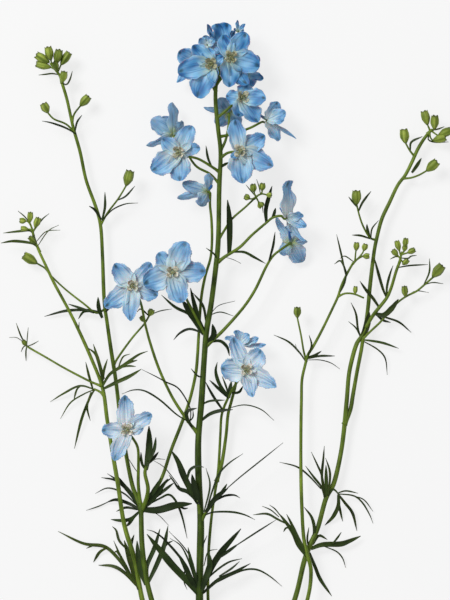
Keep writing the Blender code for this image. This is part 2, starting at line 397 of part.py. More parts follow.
            (2.4, 12, 14, [(308, 358.5), (320, 356), (335, 356)]),
            (1.1, 12, 3, [(308, 360), (320, 360), (331, 363), (340, 369)]),
            (2.2, 15, 21, [(339, 294), (344, 284), (347, 272)]),
            (2.1, 16, 20, [(346, 276), (341, 253), (336.5, 234.5)]),
            (2.1, 16, 11, [(347, 274), (341, 261), (334.5, 264)]),
            (4.3, 14, 16, [(307, 557), (298.4, 545.7), (293, 533), (286, 522.5), (278, 512.5)]),
            (3.6, 15, 18, [(306, 553), (297, 536), (291, 523), (286.5, 514)]),
            (2.5, 16, 12, [(287, 524), (277, 519), (267, 514), (253, 515)]),
            (1.4, 16, 15, [(281, 516.5), (275, 509), (269.5, 505)]),
            (1.4, 16, 17, [(279, 517), (271, 510), (262, 506)]),
            (2.1, 16, 12, [(290.5, 528), (286, 528), (283.5, 532)]),
        ],
        buds=[
            (5.6, (297.4, 318, 14), (297.5, 306.8, 15)), (3.4, (355, 294.3, 16), (355.6, 286.1, 17)),
        ],
    ),
}

# Bud sprays at the tips of stems: the first stalk point is the stem's tip.
SPRAYS = {
    "spray_top_left": dict(
        stalks=[
            (1.15, 0.8, [(62, 83, 11), (60, 76, 12), (56, 70.5, 13), (50, 63, 14)]),
            (0.6, 0.6, [(56.5, 71, 13), (56.5, 67, 14.5), (56, 63.5, 15)]),
            (0.6, 0.6, [(57.5, 72, 13), (59.5, 68, 14), (61, 64.5, 14)]),
            (0.6, 0.6, [(56, 70, 13), (53.5, 68.5, 12.5), (51, 67.3, 12.5)]),
            (0.6, 0.6, [(61, 79.5, 12), (62, 81.5, 13), (62.3, 82.8, 14.5)]),
            (0.6, 0.6, [(53, 66.5, 13.5), (51.5, 63, 15), (51, 60, 16)]),
        ],
        blades=[
            (1.8, 12, 14, [(58.5, 74.5), (52, 73.5), (46, 74.2), (38.5, 75)]),
            (1.8, 11, 14, [(61.8, 82.5), (66.5, 84.5), (70, 79), (72.3, 71)]),
        ],
        buds=[
            (6.4, (49.5, 62.5, 14), (35.5, 54.5, 15)), (6.2, (51, 60.5, 16), (48, 46.5, 18)),
            (6.4, (56, 64, 15), (59.5, 49.5, 18)), (6, (60.8, 65, 14), (69.5, 52, 14)),
            (5.8, (51, 67.3, 12.5), (35.5, 63.5, 12)), (5.6, (62.3, 82.5, 14.5), (64.5, 71, 16)),
            (4.6, (57, 70.5, 16), (55, 62, 20)),
        ],
    ),
    "spray_left": dict(
        stalks=[
            (0.85, 0.7, [(33.5, 236, 13), (32, 229, 14), (29.6, 222.5, 15)]),
            (0.6, 0.6, [(30.4, 224.5, 15), (28.5, 222, 15.5), (26.5, 221, 16)]),
            (0.6, 0.6, [(32.4, 230.6, 14), (30.5, 229.5, 14), (28.3, 229.2, 14)]),
            (0.6, 0.6, [(32.8, 232.5, 13.5), (34, 229.8, 15), (35.2, 227.8, 15)]),
        ],
        blades=[
            (1.4, 15, 17, [(30, 224), (25, 217), (18, 211)]),
            (1.6, 14, 12, [(33, 232), (42, 219.5), (49, 213.5)]),
        ],
        buds=[
            (4.4, (29.8, 222.5, 15), (30.5, 212, 17)), (4.4, (26.5, 221, 16), (19.5, 220.5, 17)),
            (5, (35, 228, 15), (38.8, 217.5, 17)), (3.8, (28.5, 229.2, 14), (20.5, 228.2, 14)),
        ],
    ),
    "spray_centre": dict(
        stalks=[
            (0.8, 0.6, [(254, 199, 21), (258, 195.5, 21.5), (262, 194, 22), (266, 194.8, 22.5)]),
            (0.55, 0.55, [(256, 197, 21.3), (254.5, 194, 22.5), (254, 192, 23)]),
            (0.55, 0.55, [(261, 194.5, 22), (262, 192, 23), (262, 190.5, 23.5)]),
            (0.55, 0.55, [(256, 197.5, 21.3), (258, 201, 22), (258.5, 203, 22)]),
            (0.55, 0.55, [(256, 197.5, 21.3), (252, 199, 24), (249.5, 199, 25)]),
        ],
        blades=[
            (1.2, 21.5, 24, [(256, 197), (250, 190), (246, 185)]),
            (1.2, 22, 26, [(260.5, 194.5), (259, 187), (256.5, 179.5)]),
            (1.2, 22, 18, [(257.5, 200), (262, 206), (263, 213)]),
        ],
        buds=[
            (4.9, (254, 192.5, 23), (252.9, 184.2, 25)), (4.7, (262, 191, 23.5), (262.6, 183.3, 25)),
            (4.7, (250, 199, 25), (244.5, 196.2, 26)), (5.5, (258.5, 202.5, 22), (262.4, 207.4, 22)),
            (4, (265.8, 194.8, 22.5), (271.8, 195.6, 23.5)),
        ],
    ),
    "spray_right_top": dict(
        stalks=[
            (1.3, 1, [(428, 134, 9), (430.5, 131, 10), (432.5, 129.5, 11)]),
            (0.7, 0.6, [(430.5, 131, 10), (429, 127.5, 11), (427.8, 125, 12)]),
            (0.7, 0.6, [(432, 130, 10.5), (434, 129.5, 12), (434.5, 129, 13)]),
            (0.6, 0.6, [(431.5, 130.5, 10), (436, 134, 11), (438.5, 135.4, 11)]),
            (0.6, 0.6, [(430, 131.5, 10), (430.5, 137, 10.5), (433, 140.5, 10.5)]),
        ],
        blades=[
            (1.8, 10, 8, [(430, 133), (428.5, 139.5), (436, 142), (449, 141.7)]),
            (1.7, 12, 13, [(432, 130), (438, 129), (444.5, 126.5)]),
        ],
        buds=[
            (6.4, (427.8, 125, 12), (423.8, 110.3, 13)), (6.2, (434.5, 129.5, 13), (435, 115.3, 16)),
            (6.4, (438.5, 135.4, 11), (452, 129.8, 11)), (6.4, (433, 140.5, 10.5), (446.5, 137, 12)),
        ],
    ),
    "spray_right_left": dict(
        stalks=[
            (0.85, 0.7, [(352.5, 264, 16), (357.5, 259, 16), (363, 256, 16)]),
            (0.6, 0.6, [(355, 261.5, 16), (355.5, 254, 17), (356, 250, 18)]),
            (0.6, 0.6, [(358, 258.8, 16), (362.5, 253, 17), (363.5, 250.5, 18)]),
        ],
        blades=[
            (1.4, 16, 14, [(354, 262), (345, 256), (340, 258.5)]),
        ],
        buds=[
            (4.4, (356, 251, 18), (356.6, 242.2, 19)), (4.4, (363.5, 251, 18), (365.7, 243.8, 19)),
            (4.4, (362.5, 256.2, 16), (369.6, 256, 16)),
        ],
    ),
    "spray_right_middle": dict(
        stalks=[
            (0.9, 0.75, [(399.5, 262.5, 14), (400.8, 257, 15), (402.2, 251.5, 15)]),
            (0.6, 0.6, [(401, 256.2, 15), (400, 253, 16), (399.4, 250.8, 17)]),
            (0.6, 0.6, [(401.9, 253.5, 15), (403, 252.4, 15.6), (404.1, 251.2, 16)]),
            (0.6, 0.6, [(401.5, 254.6, 15), (405, 253.6, 16), (407.4, 252.9, 16)]),
            (0.6, 0.6, [(400.6, 258.5, 15), (399, 257, 16), (397.7, 255.6, 16)]),
            (0.6, 0.6, [(400.3, 259.3, 14.6), (402.8, 262, 13.4), (403, 264.6, 13)]),
        ],
        blades=[
            (1.7, 15, 17, [(401, 258), (408, 258.5), (411, 256.2), (416.6, 255.4)]),
            (1.5, 15, 14, [(400.5, 257.5), (395.8, 256.6), (390, 259.2)]),
        ],
        buds=[
            (4.4, (399.4, 251, 17), (396.6, 240.4, 18)), (4, (404, 251.5, 16), (405.4, 244.9, 17)),
            (4.4, (404.7, 247, 18), (406, 238.2, 20)), (4.4, (407.2, 253, 16), (415.3, 249.4, 17)),
            (4.4, (397.8, 255.8, 16), (392.4, 249.8, 17)), (4.2, (402.9, 264.8, 13), (408.4, 259.4, 14)),
        ],
    ),
}

COLOURS = {
    "woody_crown": (0.36, 0.27, 0.16),
    "stem_green": (0.30, 0.42, 0.14),
    "light_stem_green": (0.43, 0.54, 0.18),
    "bud_green": (0.55, 0.66, 0.26),
    "sepal_blue": (0.42, 0.62, 0.87),
    "pale_centre": (0.90, 0.90, 0.80),
}


def place(points):
    """Photo pixels and millimetres up, as metres in the model."""
    p = np.array(points, float).reshape(-1, 3)
    x = (p[:, 0] - CENTRE_PX[0]) * MM_PER_PIXEL
    y = (CENTRE_PX[1] - p[:, 1]) * MM_PER_PIXEL
    return np.stack([x, y, p[:, 2]], axis=1) * MM


def unit(v):
    v = np.asarray(v, float)
    return v / np.maximum(np.linalg.norm(v, axis=-1, keepdims=True), 1e-12)


def smooth(points, per_span):
    """A curve through every point, each span cut into equal steps (Catmull-Rom)."""
    p = np.vstack([2 * points[0] - points[1], points, 2 * points[-1] - points[-2]])
    t = (np.arange(per_span) / per_span)[:, None]
    spans = [
        0.5 * (2 * b + (c - a) * t + (2 * a - 5 * b + 4 * c - d) * t**2 + (3 * b - a - 3 * c + d) * t**3)
        for a, b, c, d in zip(p[:-3], p[1:-2], p[2:-1], p[3:])
    ]
    return np.vstack(spans + [points[-1:]])


def settle(points, least):
    """Keeps points above the surface: heights under `least` are eased up to it."""
    z = points[:, 2] - least
    points = points.copy()
    points[:, 2] = least + 0.5 * (z + np.sqrt(z**2 + (0.4 * MM) ** 2))
    return points


def mesh_of(verts, faces):
    mesh = bpy.data.meshes.new("shape")
    mesh.from_pydata([tuple(v) for v in verts], [], faces)
    bm = bmesh.new()
    bm.from_mesh(mesh)
    bmesh.ops.recalc_face_normals(bm, faces=bm.faces)
    bm.to_mesh(mesh)
    bm.free()
    return mesh


def fewer(line, slack):
    """Drops the points of a line that lie within `slack` of the straight run between those kept."""
    if len(line) < 3:
        return line
    run = unit(line[-1] - line[0])
    off = line - line[0]
    away = np.linalg.norm(off - np.outer(off @ run, run), axis=1)
    far = int(away.argmax())
    if away[far] <= slack:
        return line[[0, -1]]
    return np.vstack([fewer(line[: far + 1], slack)[:-1], fewer(line[far:], slack)])


def spaced(line, shares):
    """Points at the given shares of a line's length."""
    run = np.concatenate([[0.0], np.cumsum(np.linalg.norm(np.diff(line, axis=0), axis=1))])
    at = np.asarray(shares) * run[-1]
    return np.stack([np.interp(at, run, line[:, k]) for k in range(3)], axis=1)


def tube(path, radii, sides):
    """Rings of `sides` points carried along a path without twisting, closed by flat ends."""
    along = unit(np.gradient(path, axis=0))
    side = unit(np.cross(along[0], (0.0, 0.0, 1.0) if abs(along[0][2]) < 0.9 else (1.0, 0.0, 0.0)))
    rings = []
    angles = 2 * np.pi * np.arange(sides) / sides
    for centre, way, radius in zip(path, along, radii):
        side = unit(side - way * side.dot(way))
        up = np.cross(way, side)
        rings.append(centre + radius * (np.cos(angles)[:, None] * side + np.sin(angles)[:, None] * up))
    return skin(rings)


def skin(rings):
    """A closed shape through rings of points, with flat ends."""
    n, m = len(rings), len(rings[0])
    faces = [
        (i * m + j, i * m + (j + 1) % m, (i + 1) * m + (j + 1) % m, (i + 1) * m + j)
        for i in range(n - 1) for j in range(m)
    ]
    faces += [tuple(range(m))[::-1], tuple((n - 1) * m + j for j in range(m))]
    return mesh_of(np.vstack(rings), faces)


def thicken(points, triangles, thick):
    """A closed sheet from an open surface: both faces carry the same triangles, the rim joins them."""
    a, b, c = (points[triangles[:, k]] for k in range(3))
    flat = np.cross(b - a, c - a)
    normal = np.zeros_like(points)
    for k in range(3):
        np.add.at(normal, triangles[:, k], flat)
    normal = unit(normal) * thick / 2
    n = len(points)
    faces = [tuple(t) for t in triangles] + [(t[2] + n, t[1] + n, t[0] + n) for t in triangles]
    edges = {(t[i], t[(i + 1) % 3]) for t in triangles.tolist() for i in range(3)}
    for p, q in sorted(edges):
        if (q, p) not in edges:
            faces += [(q, p, p + n), (q, p + n, q + n)]
    return mesh_of(np.vstack([points + normal, points - normal]), faces)


def strip(grid):
    """The triangles of a grid of points, two to a square."""
    rows, cols = grid.shape[:2]
    at = np.arange(rows * cols).reshape(rows, cols)
    a, b, c, d = at[:-1, :-1].ravel(), at[:-1, 1:].ravel(), at[1:, 1:].ravel(), at[1:, :-1].ravel()
    return np.concatenate([np.stack([a, b, c], axis=1), np.stack([a, c, d], axis=1)])


def blade(width_px, z_root, z_tip, points, tilt):
    """A narrow leaf lobe: a strip along its line, widest past the middle, ending in a narrow tip."""
    share = np.linspace(0, 1, len(points))
    rise = z_root + (z_tip - z_root) * share
    line = smooth(place([(p[0], p[1], z) for p, z in zip(points, rise)]), 4)
    length = np.linalg.norm(np.diff(line, axis=0), axis=1).sum() / MM
    shares = (0, 0.55, 1) if length < 24 else (0, 0.35, 0.72, 1)
    line = settle(spaced(line, shares), 0.5 * LEAF_THICK_MM * MM)
    along = unit(np.gradient(line, axis=0))
    across = unit(np.cross((0.0, 0.0, 1.0), along) + (0.0, 0.0, tilt))
    half = 0.5 * width_px * MM_PER_PIXEL * np.interp(shares, BLADE_AT, BLADE_WIDE)
    edge = np.maximum(half, 0.42)[:, None] * MM * across
    line[:, 2] += np.maximum(np.abs(edge[:, 2]) + 0.5 * LEAF_THICK_MM * MM - line[:, 2], 0.0)
    if width_px < 3.6:
        up = unit(np.cross(along, across)) * KEEL_MM * MM
        return skin(np.stack([line - edge + 0.3 * up, line + edge + 0.3 * up, line - 0.6 * up], axis=1))
    if width_px >= 5.8:
        fold = np.array((0.0, 0.0, 0.28)) * np.abs(half)[:, None] * MM
        grid = np.stack([line - edge + fold, line, line + edge + fold], axis=1)
    else:
        grid = np.stack([line - edge, line + edge], axis=1)
    return thicken(grid.reshape(-1, 3), strip(grid), LEAF_THICK_MM * MM)


def face_axes(face):
    """Up and right as seen on a flower's face."""
    up = unit(np.array((0.0, 1.0, 0.0)) - face * face[1])
    return up, np.cross(up, face)


def stalk(radii, points, flowers):
    """A round stem through its points; a flower's number at the end is a point at that flower's back."""
    points = list(points)
    from_crown = points[0][1] > CROWN_PX[1] - 10
    if isinstance(points[-1], str):
        heart, face = flowers[points[-1]]
        foot = heart - face * (FLOWER_FOOT_MM + GAP_MM) * MM - face_axes(face)[0] * 0.9 * MM
        line = np.vstack([place(points[:-1]), foot - face * 2.2 * MM, foot])
    else:
        line = place(points)
    if from_crown:
        line = leave_crown(line)
    line = fewer(smooth(line, 4), (0.5 if max(radii) < 1.5 else 0.8) * MM)
    run = np.concatenate([[0.0], np.cumsum(np.linalg.norm(np.diff(line, axis=0), axis=1))])
    wide = (radii[0] + (radii[1] - radii[0]) * run / run[-1]) * MM
    line = np.array([settle(q[None], r)[0] for q, r in zip(line, wide)])
    return tube(line, wide, 6 if max(radii) > 3 else 5 if max(radii) > 1.55 else 4)


def leave_crown(line):
    """Moves a stem's first point along its way out of the crown, to just clear of its surface."""
    half = (np.array(CROWN_HALF_MM) + GAP_MM) * MM
    start = (line[0] - place(CROWN_PX)[0]) / half
    way = (line[1] - line[0]) / half
    a, b, c = way @ way, 2 * start @ way, start @ start - 1
    out = (-b + np.sqrt(b * b - 4 * a * c)) / (2 * a)
    return np.vstack([line[0] + out * (line[1] - line[0]), line[1:]])


def bud(width_mm, foot, tip):
    """An egg-shaped bud with a blunt tip."""
    ends = place([foot, tip])
    at = np.array([0.0, 0.22, 0.66, 1.0])
    path = ends[0] + at[:, None] * (ends[1] - ends[0])
    return tube(path, 0.5 * width_mm * MM * np.array([0.36, 0.84, 1.0, 0.62]), 5)


def flower_meshes(heart, face, tips):
    """Sepals round one heart, narrow at the foot and cupped the way the flower faces, and the spur."""
    up, right = face_axes(face)
    tips = [(place(tip[:3])[0], tip[3]) for tip in tips]
    turn = [np.arctan2((tip - heart) @ up, (tip - heart) @ right) for tip, _ in tips]
    order = np.argsort(turn)
    tips, turn = [tips[k] for k in order], [turn[k] for k in order]
    count = len(tips)
    gaps = [(turn[(k + 1) % count] - turn[k]) % (2 * np.pi) for k in range(count)]
    points, triangles = [heart - face * 1.2 * MM], []
    for k in range(count):
        mid = turn[k] + gaps[k] / 2
        points.append(heart + 2.3 * MM * (np.cos(mid) * right + np.sin(mid) * up) - face * 0.7 * MM)
    for k, (tip, width) in enumerate(tips):
        out = tip - heart
        length = np.linalg.norm(out)
        out = out / length
        normal = unit(face - out * face.dot(out))
        side = np.cross(normal, out)
        start = heart + out * 2.4 * MM - face * 0.8 * MM
        bend = 0.45 * start + 0.55 * tip - normal * 0.10 * length
        t = np.array(SEPAL_AT)[:, None]
        line = (1 - t) ** 2 * start + 2 * t * (1 - t) * bend + t**2 * tip
        half = 0.5 * width * MM * np.array(SEPAL_WIDE)
        reach = np.linalg.norm(line - heart, axis=1)
        room = [0.94 * reach * np.sin(min(gap / 2, np.pi / 2)) for gap in (gaps[k - 1], gaps[k])]
        first = len(points)
        left, near = 1 + (k - 1) % count, 1 + k
        rows = []
        for i in range(1, len(SEPAL_AT)):
            spread = [min(half[i], max(space[i] - 0.3 * MM, 0.9 * MM)) for space in room]
            lift = normal * 0.28 * half[i]
            rows.append([line[i] - side * spread[0] + lift, line[i], line[i] + side * spread[1] + lift])
        points += [line[0]] + list(np.array(rows).reshape(-1, 3))
        at = np.vstack([[left, first, near], first + 1 + np.arange(3 * len(rows)).reshape(-1, 3)])
        triangles += [(0, first, left), (0, near, first)]
        for (a, b, c), (d, e, f) in zip(at[:-1], at[1:]):
            triangles += [(a, b, e), (a, e, d), (b, c, e), (c, f, e)]
    points = settle(np.array(points), 0.5 * SEPAL_THICK_MM * MM)
    star = thicken(points, np.array(triangles), SEPAL_THICK_MM * MM)
    foot = heart + up * 2.0 * MM - face * 1.6 * MM
    end = foot + (up * 6.0 - face * 7.0) * MM * (0.55 if count < 5 else 1.0)
    path = np.array([foot, 0.5 * (foot + end) - face * 0.8 * MM, end])
    path = np.array([settle(q[None], 1.0 * MM)[0] for q in path])
    return [star, tube(path, np.array([1.5, 1.2, 0.7]) * MM, 4)]


def centre_meshes(heart, face):
    """The pale small petals and stamens in the heart of a flower."""
    up, right = face_axes(face)
    base = heart - face * (0.85 - GAP_MM) * MM
    shapes = [tube(base + face * np.array([0.0, 2.2, 3.8])[:, None] * MM, np.array([0.9, 1.5, 0.7]) * MM, 4)]
    for turn, reach, rise in ((50, 4.4, 2.2), (130, 4.4, 2.2), (215, 3.8, 1.4), (325, 3.8, 1.4)):
        a = np.radians(turn)
        out = np.cos(a) * right + np.sin(a) * up
        side = np.cross(out, face)
        t = np.array([0.0, 1.0])[:, None]
        line = base + face * (2.0 + rise * t) * MM + out * (0.6 + reach * t) * MM
        half = np.array([0.8, 1.5])[:, None] * MM
        grid = np.stack([line - side * half, line + side * half], axis=1)
        shapes.append(thicken(grid.reshape(-1, 3), strip(grid), 0.65 * MM))
    return shapes


def crown_meshes():
    """A short knobbly foot, flattened front to back, that the stems rise from."""
    centre = place(CROWN_PX)[0]
    half = np.array(CROWN_HALF_MM) * MM
    turn = np.linspace(-0.98, 0.98, 6)
    n = 10
    a = 2 * np.pi * np.arange(n) / n
    rings = []
    for t in turn:
        r = np.sqrt(1 - t**2) * (1 - 0.04 * (1 + np.cos(3 * a + 5 * t)))
        ring = np.stack([half[0] * t + 0 * a, half[1] * r * np.cos(a), half[2] * r * np.sin(a)], axis=1)
        rings.append(ring + centre)
    return [skin(rings)]


def outer_shell(mesh):
    """Keeps the largest closed surface: fills a hollow that fusing sealed and drops loose scraps."""
    bm = bmesh.new()
    bm.from_mesh(mesh)
    bm.verts.ensure_lookup_table()
    label = np.full(len(bm.verts), -1)
    groups = []
    for vert in bm.verts:
        if label[vert.index] >= 0:
            continue
        label[vert.index] = len(groups)
        todo, found = [vert], []
        while todo:
            v = todo.pop()
            found.append(v)
            for edge in v.link_edges:
                w = edge.other_vert(v)
                if label[w.index] < 0:
                    label[w.index] = len(groups)
                    todo.append(w)
        groups.append(found)
    groups.sort(key=len)
    for scrap in groups[:-1]:
        bmesh.ops.delete(bm, geom=scrap, context="VERTS")
    bm.to_mesh(mesh)
    bm.free()


def fuse(name, meshes, colour, collection):
    """One object: every mesh joined by a single union."""
    body = bpy.data.objects.new(name, meshes[0])
    collection.objects.link(body)
    if len(meshes) > 1:
        group = bpy.data.collections.new(name + "_pieces")
        bpy.context.scene.collection.children.link(group)
        for mesh in meshes[1:]:
            group.objects.link(bpy.data.objects.new(name + "_piece", mesh))
        join = body.modifiers.new("join", "BOOLEAN")
        join.operation, join.operand_type, join.solver = "UNION", "COLLECTION", "MANIFOLD"
        join.collection = group
        depsgraph = bpy.context.evaluated_depsgraph_get()
        joined = bpy.data.meshes.new_from_object(body.evaluated_get(depsgraph))
        body.modifiers.remove(join)
        body.data = joined
        for piece in list(group.objects):
            bpy.data.objects.remove(piece)
        bpy.data.collections.remove(group)
        outer_shell(body.data)
    body.data.materials.clear()
    body.data.materials.append(material(name, colour))
    for corner in body.data.vertices:
        corner.co.z -= DROP_MM * MM
    return body


def material(name, colour):
    made = bpy.data.materials.new(name)
    made.use_nodes = True
    shader = made.node_tree.nodes["Principled BSDF"]
    shader.inputs["Base Color"].default_value = (*COLOURS[colour], 1.0)
    shader.inputs["Roughness"].default_value = 0.6
    return made


def main():
    for obj in list(bpy.data.objects):
        bpy.data.objects.remove(obj)
    plant = bpy.data.collections.new("delphinium_plant")
    bpy.context.scene.collection.children.link(plant)
    rng = np.random.default_rng(7)
    flowers = {key: (place(heart)[0], unit(face)) for key, (heart, face, _, _) in FLOWERS.items()}

    fuse("crown", crown_meshes(), "woody_crown", plant)
    for name, stem in {**STEMS, **SPRAYS}.items():
        shapes = []
        for foot, tip, points in stem["stalks"]:
            if name in SPRAYS and not shapes:
                line = np.array([points[0], points[1]], float)
                step = unit(place(line[1])[0] - place(line[0])[0]) * GAP_MM
                start = (points[0][0] + step[0] / MM_PER_PIXEL, points[0][1] - step[1] / MM_PER_PIXEL,
                         points[0][2] + step[2])
                points = [start] + list(points[1:])
            shapes.append(stalk((foot, tip), points, flowers))
        broad = [entry for entry in stem["blades"] if entry[0] > HAIR_PX]
        shapes += [blade(*entry, rng.uniform(-0.35, 0.35)) for entry in broad]
        shapes += [bud(*entry) for entry in stem["buds"]]
        light = name == "stem_left_outer"
        kind = "bud_green" if name in SPRAYS else "light_stem_green" if light else "stem_green"
        fuse(name, shapes, kind, plant)
    for key, (heart, face, tips, pale) in FLOWERS.items():
        at, way = flowers[key]
        fuse(f"flower_{key}", flower_meshes(at, way, tips), "sepal_blue", plant)
        if pale:
            fuse(f"flower_{key}_centre", centre_meshes(at, way), "pale_centre", plant)
    corners = np.vstack([np.array([v.co for v in o.data.vertices]) for o in plant.objects]) / MM
    print("box mm", corners.min(axis=0).round(2), corners.max(axis=0).round(2))
    print("middle px", CENTRE_PX[0] + (corners[:, 0].min() + corners[:, 0].max()) / 2 / MM_PER_PIXEL,
          CENTRE_PX[1] - (corners[:, 1].min() + corners[:, 1].max()) / 2 / MM_PER_PIXEL)


main()
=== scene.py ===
# %% [markdown]
# # A light-blue delphinium, laid on a table
#
# The real thing is a garden delphinium of the loose, many-stemmed kind: thin branching stems, leaves cut
# into narrow lobes, green buds and open flowers of five sky-blue sepals round a cream centre. Here it is
# cut at ground level and lies on a pale surface, and the camera looks straight down on it.
#
# A plant has hardly a flat face or a straight edge, so nothing here starts from a cube or a cylinder. Every
# shape is one of three surfaces worked out with numpy: a tube carried along a curve (stems, buds, spurs), a
# thin lens carried along a curve (leaf lobes), and a sepal, which is such a lens that is bent, cupped and
# ruffled.

import bpy
import numpy as np
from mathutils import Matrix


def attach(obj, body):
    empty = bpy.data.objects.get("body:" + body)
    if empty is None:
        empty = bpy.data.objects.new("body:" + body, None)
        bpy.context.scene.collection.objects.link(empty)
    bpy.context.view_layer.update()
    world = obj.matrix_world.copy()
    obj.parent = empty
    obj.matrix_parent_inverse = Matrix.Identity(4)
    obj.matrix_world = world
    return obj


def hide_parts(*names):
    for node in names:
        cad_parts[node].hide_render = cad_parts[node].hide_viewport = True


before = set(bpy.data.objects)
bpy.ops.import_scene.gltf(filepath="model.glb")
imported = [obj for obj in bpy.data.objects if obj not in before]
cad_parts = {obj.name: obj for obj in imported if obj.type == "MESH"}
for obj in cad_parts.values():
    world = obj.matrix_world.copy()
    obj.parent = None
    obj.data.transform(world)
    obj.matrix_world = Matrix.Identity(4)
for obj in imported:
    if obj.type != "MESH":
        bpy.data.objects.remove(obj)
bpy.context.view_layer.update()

# %% [markdown]
# ## From the photograph to the model
#
# The plant was traced from above, so a place across it is given in photograph pixels, and its height above
# the table in millimetres. One pixel is 0.8 mm at the plant. The middle of the lying plant is the origin,
# and all heights drop by 0.49 mm, so that the lowest piece touches the table.

# %% Places in pixels and millimetres become metres
MM = 0.001
MM_PER_PIXEL = 0.8
PHOTO_PX = (450, 600)
CENTRE_PX = (226.66, 403.29)
DROP_MM = 0.49


def place(points):
    """x = (px - centre) * 0.8 mm, y = (centre - py) * 0.8 mm (pixels run down), z = height less the drop."""
    p = np.asarray(points, float).reshape(-1, 3)
    x = (p[:, 0] - CENTRE_PX[0]) * MM_PER_PIXEL
    y = (CENTRE_PX[1] - p[:, 1]) * MM_PER_PIXEL
    return np.stack([x, y, p[:, 2] - DROP_MM], axis=1) * MM


def unit(v):
    """Each vector divided by its own length."""
    v = np.asarray(v, float)
    return v / np.maximum(np.linalg.norm(v, axis=-1, keepdims=True), 1e-12)


print("the camera's frame is", *(side * MM_PER_PIXEL for side in PHOTO_PX), "mm")

# %% [markdown]
# ## Curves that stems follow
#
# A stem is known at a few points. A Catmull-Rom curve goes through all of them and leaves each point in the
# direction of its neighbours, which is how a growing stem bends. It is then read off at even steps of
# length, so that the rings of the tube are evenly spaced.

# %% A smooth curve, read at even steps
STEPS_PER_SPAN, SOFT_MM = 8, 0.4


def smooth(points):
    """q(t) = (2b + (c-a)t + (2a-5b+4c-d)t^2 + (3b-a-3c+d)t^3) / 2 for each span b..c with neighbours a, d."""
    p = np.vstack([2 * points[0] - points[1], points, 2 * points[-1] - points[-2]])
    a, b, c, d = (p[k : len(p) - 3 + k, None] for k in range(4))
    t = (np.arange(STEPS_PER_SPAN) / STEPS_PER_SPAN)[None, :, None]
    curve = 0.5 * (2 * b + (c - a) * t + (2 * a - 5 * b + 4 * c - d) * t**2 + (3 * b - a - 3 * c + d) * t**3)
    return np.vstack([curve.reshape(-1, 3), points[-1:]])


def length_along(line):
    """Distance from the first point to each point, in metres."""
    return np.concatenate([[0.0], np.cumsum(np.linalg.norm(np.diff(line, axis=0), axis=1))])


def at_shares(line, shares):
    """The points at the given shares (0 to 1) of a line's length."""
    run = length_along(line)
    return np.stack([np.interp(np.asarray(shares) * run[-1], run, line[:, k]) for k in range(3)], axis=1)


def rest_on_table(line, radius):
    """Low heights are eased up to the radius: z = r + (h + sqrt(h^2 + 0.4^2)) / 2 with h = z - r, in mm, less
    half the drop."""
    line = line.copy()
    rise = line[:, 2] - radius
    line[:, 2] = radius + 0.5 * (rise + np.sqrt(rise**2 + (SOFT_MM * MM) ** 2)) - 0.5 * DROP_MM * MM
    line[:, 2] = np.maximum(line[:, 2], radius)
    return line


print("a quarter turn in", len(smooth(place([(0, 0, 0), (5, 8, 0), (13, 13, 0)]))), "points")

# %% [markdown]
# ## Colours
#
# A colour picked from a picture is sRGB, while a renderer adds light in linear numbers, so one function
# turns a hex value into linear. Plant colours run into each other without an edge, so a second one fades
# from one colour to the next.


# %% Hex to linear, and fading from one colour to another
def colour(hex_value):
    """c / 12.92 below 0.04045, else ((c + 0.055) / 1.055) ^ 2.4, for red, green and blue from 0 to 1."""
    c = np.array([int(hex_value[k : k + 2], 16) for k in (1, 3, 5)]) / 255
    return np.where(c < 0.04045, c / 12.92, ((c + 0.055) / 1.055) ** 2.4)


def fade(first, second, share):
    """first + (second - first) * share, with the share held between 0 and 1."""
    return first + (second - first) * np.clip(share, 0.0, 1.0)[..., None]


print("sky blue #6FA8DC in linear is", colour("#6FA8DC").round(3))

# %% [markdown]
# ## One way to close a surface
#
# Rings of points carried along a curve make a quilt of four-sided faces. Each end is closed by a fan to a
# point in the middle of the last ring, so every shape is watertight. With each point go its tint and its
# grain: how far along the shape it is, how far across, and a number of the shape's own. The materials draw
# fibres and veins along the grain.


# %% Rings of points become a closed surface
def close_rings(rings, along, across, tint, seed=0.0):
    """rings is (n, m, 3): each of n rings has m points. Faces join (k, j), (k, j+1), (k+1, j+1), (k+1, j)."""
    n, m = rings.shape[:2]
    ends = np.stack([rings[0].mean(axis=0), rings[-1].mean(axis=0)])
    j = np.arange(m)
    near = (j + 1) % m
    start = m * np.arange(n - 1)[:, None]
    quads = np.stack([start + j, start + near, start + m + near, start + m + j], axis=-1).reshape(-1, 4)
    first = np.stack([near, j, np.full(m, n * m)], axis=1)
    last = np.stack([(n - 1) * m + j, (n - 1) * m + near, np.full(m, n * m + 1)], axis=1)
    grain = [np.broadcast_to(v, (n, m)) for v in (along, across, 40.0 * seed)]
    grain = np.stack(grain, axis=-1).reshape(-1, 3)
    tint = np.broadcast_to(tint, (n, m, 3)).reshape(-1, 3)
    return dict(points=np.vstack([rings.reshape(-1, 3), ends]), quads=quads, fans=np.vstack([first, last]),
                grain=np.vstack([grain, grain[[0, -1]]]), tint=np.vstack([tint, tint[[0, -1]]]))


def once_round(count):
    """That many angles at even steps once round, in radians."""
    return 2 * np.pi * np.arange(count) / count


def frame_along(line, tilt=0.0):
    """Along the line, across it and up from it; across starts out level and leans by the tilt."""
    along = unit(np.gradient(line, axis=0))
    across = unit(np.cross((0.011, -0.017, 1.0), along) + np.array((0.0, 0.0, 1.0)) * tilt)
    return along, across, unit(np.cross(along, across))


def round_it(a, across, up):
    """For every ring the directions cos(a) across + sin(a) up."""
    return np.cos(a)[:, None] * across[:, None] + np.sin(a)[:, None] * up[:, None]


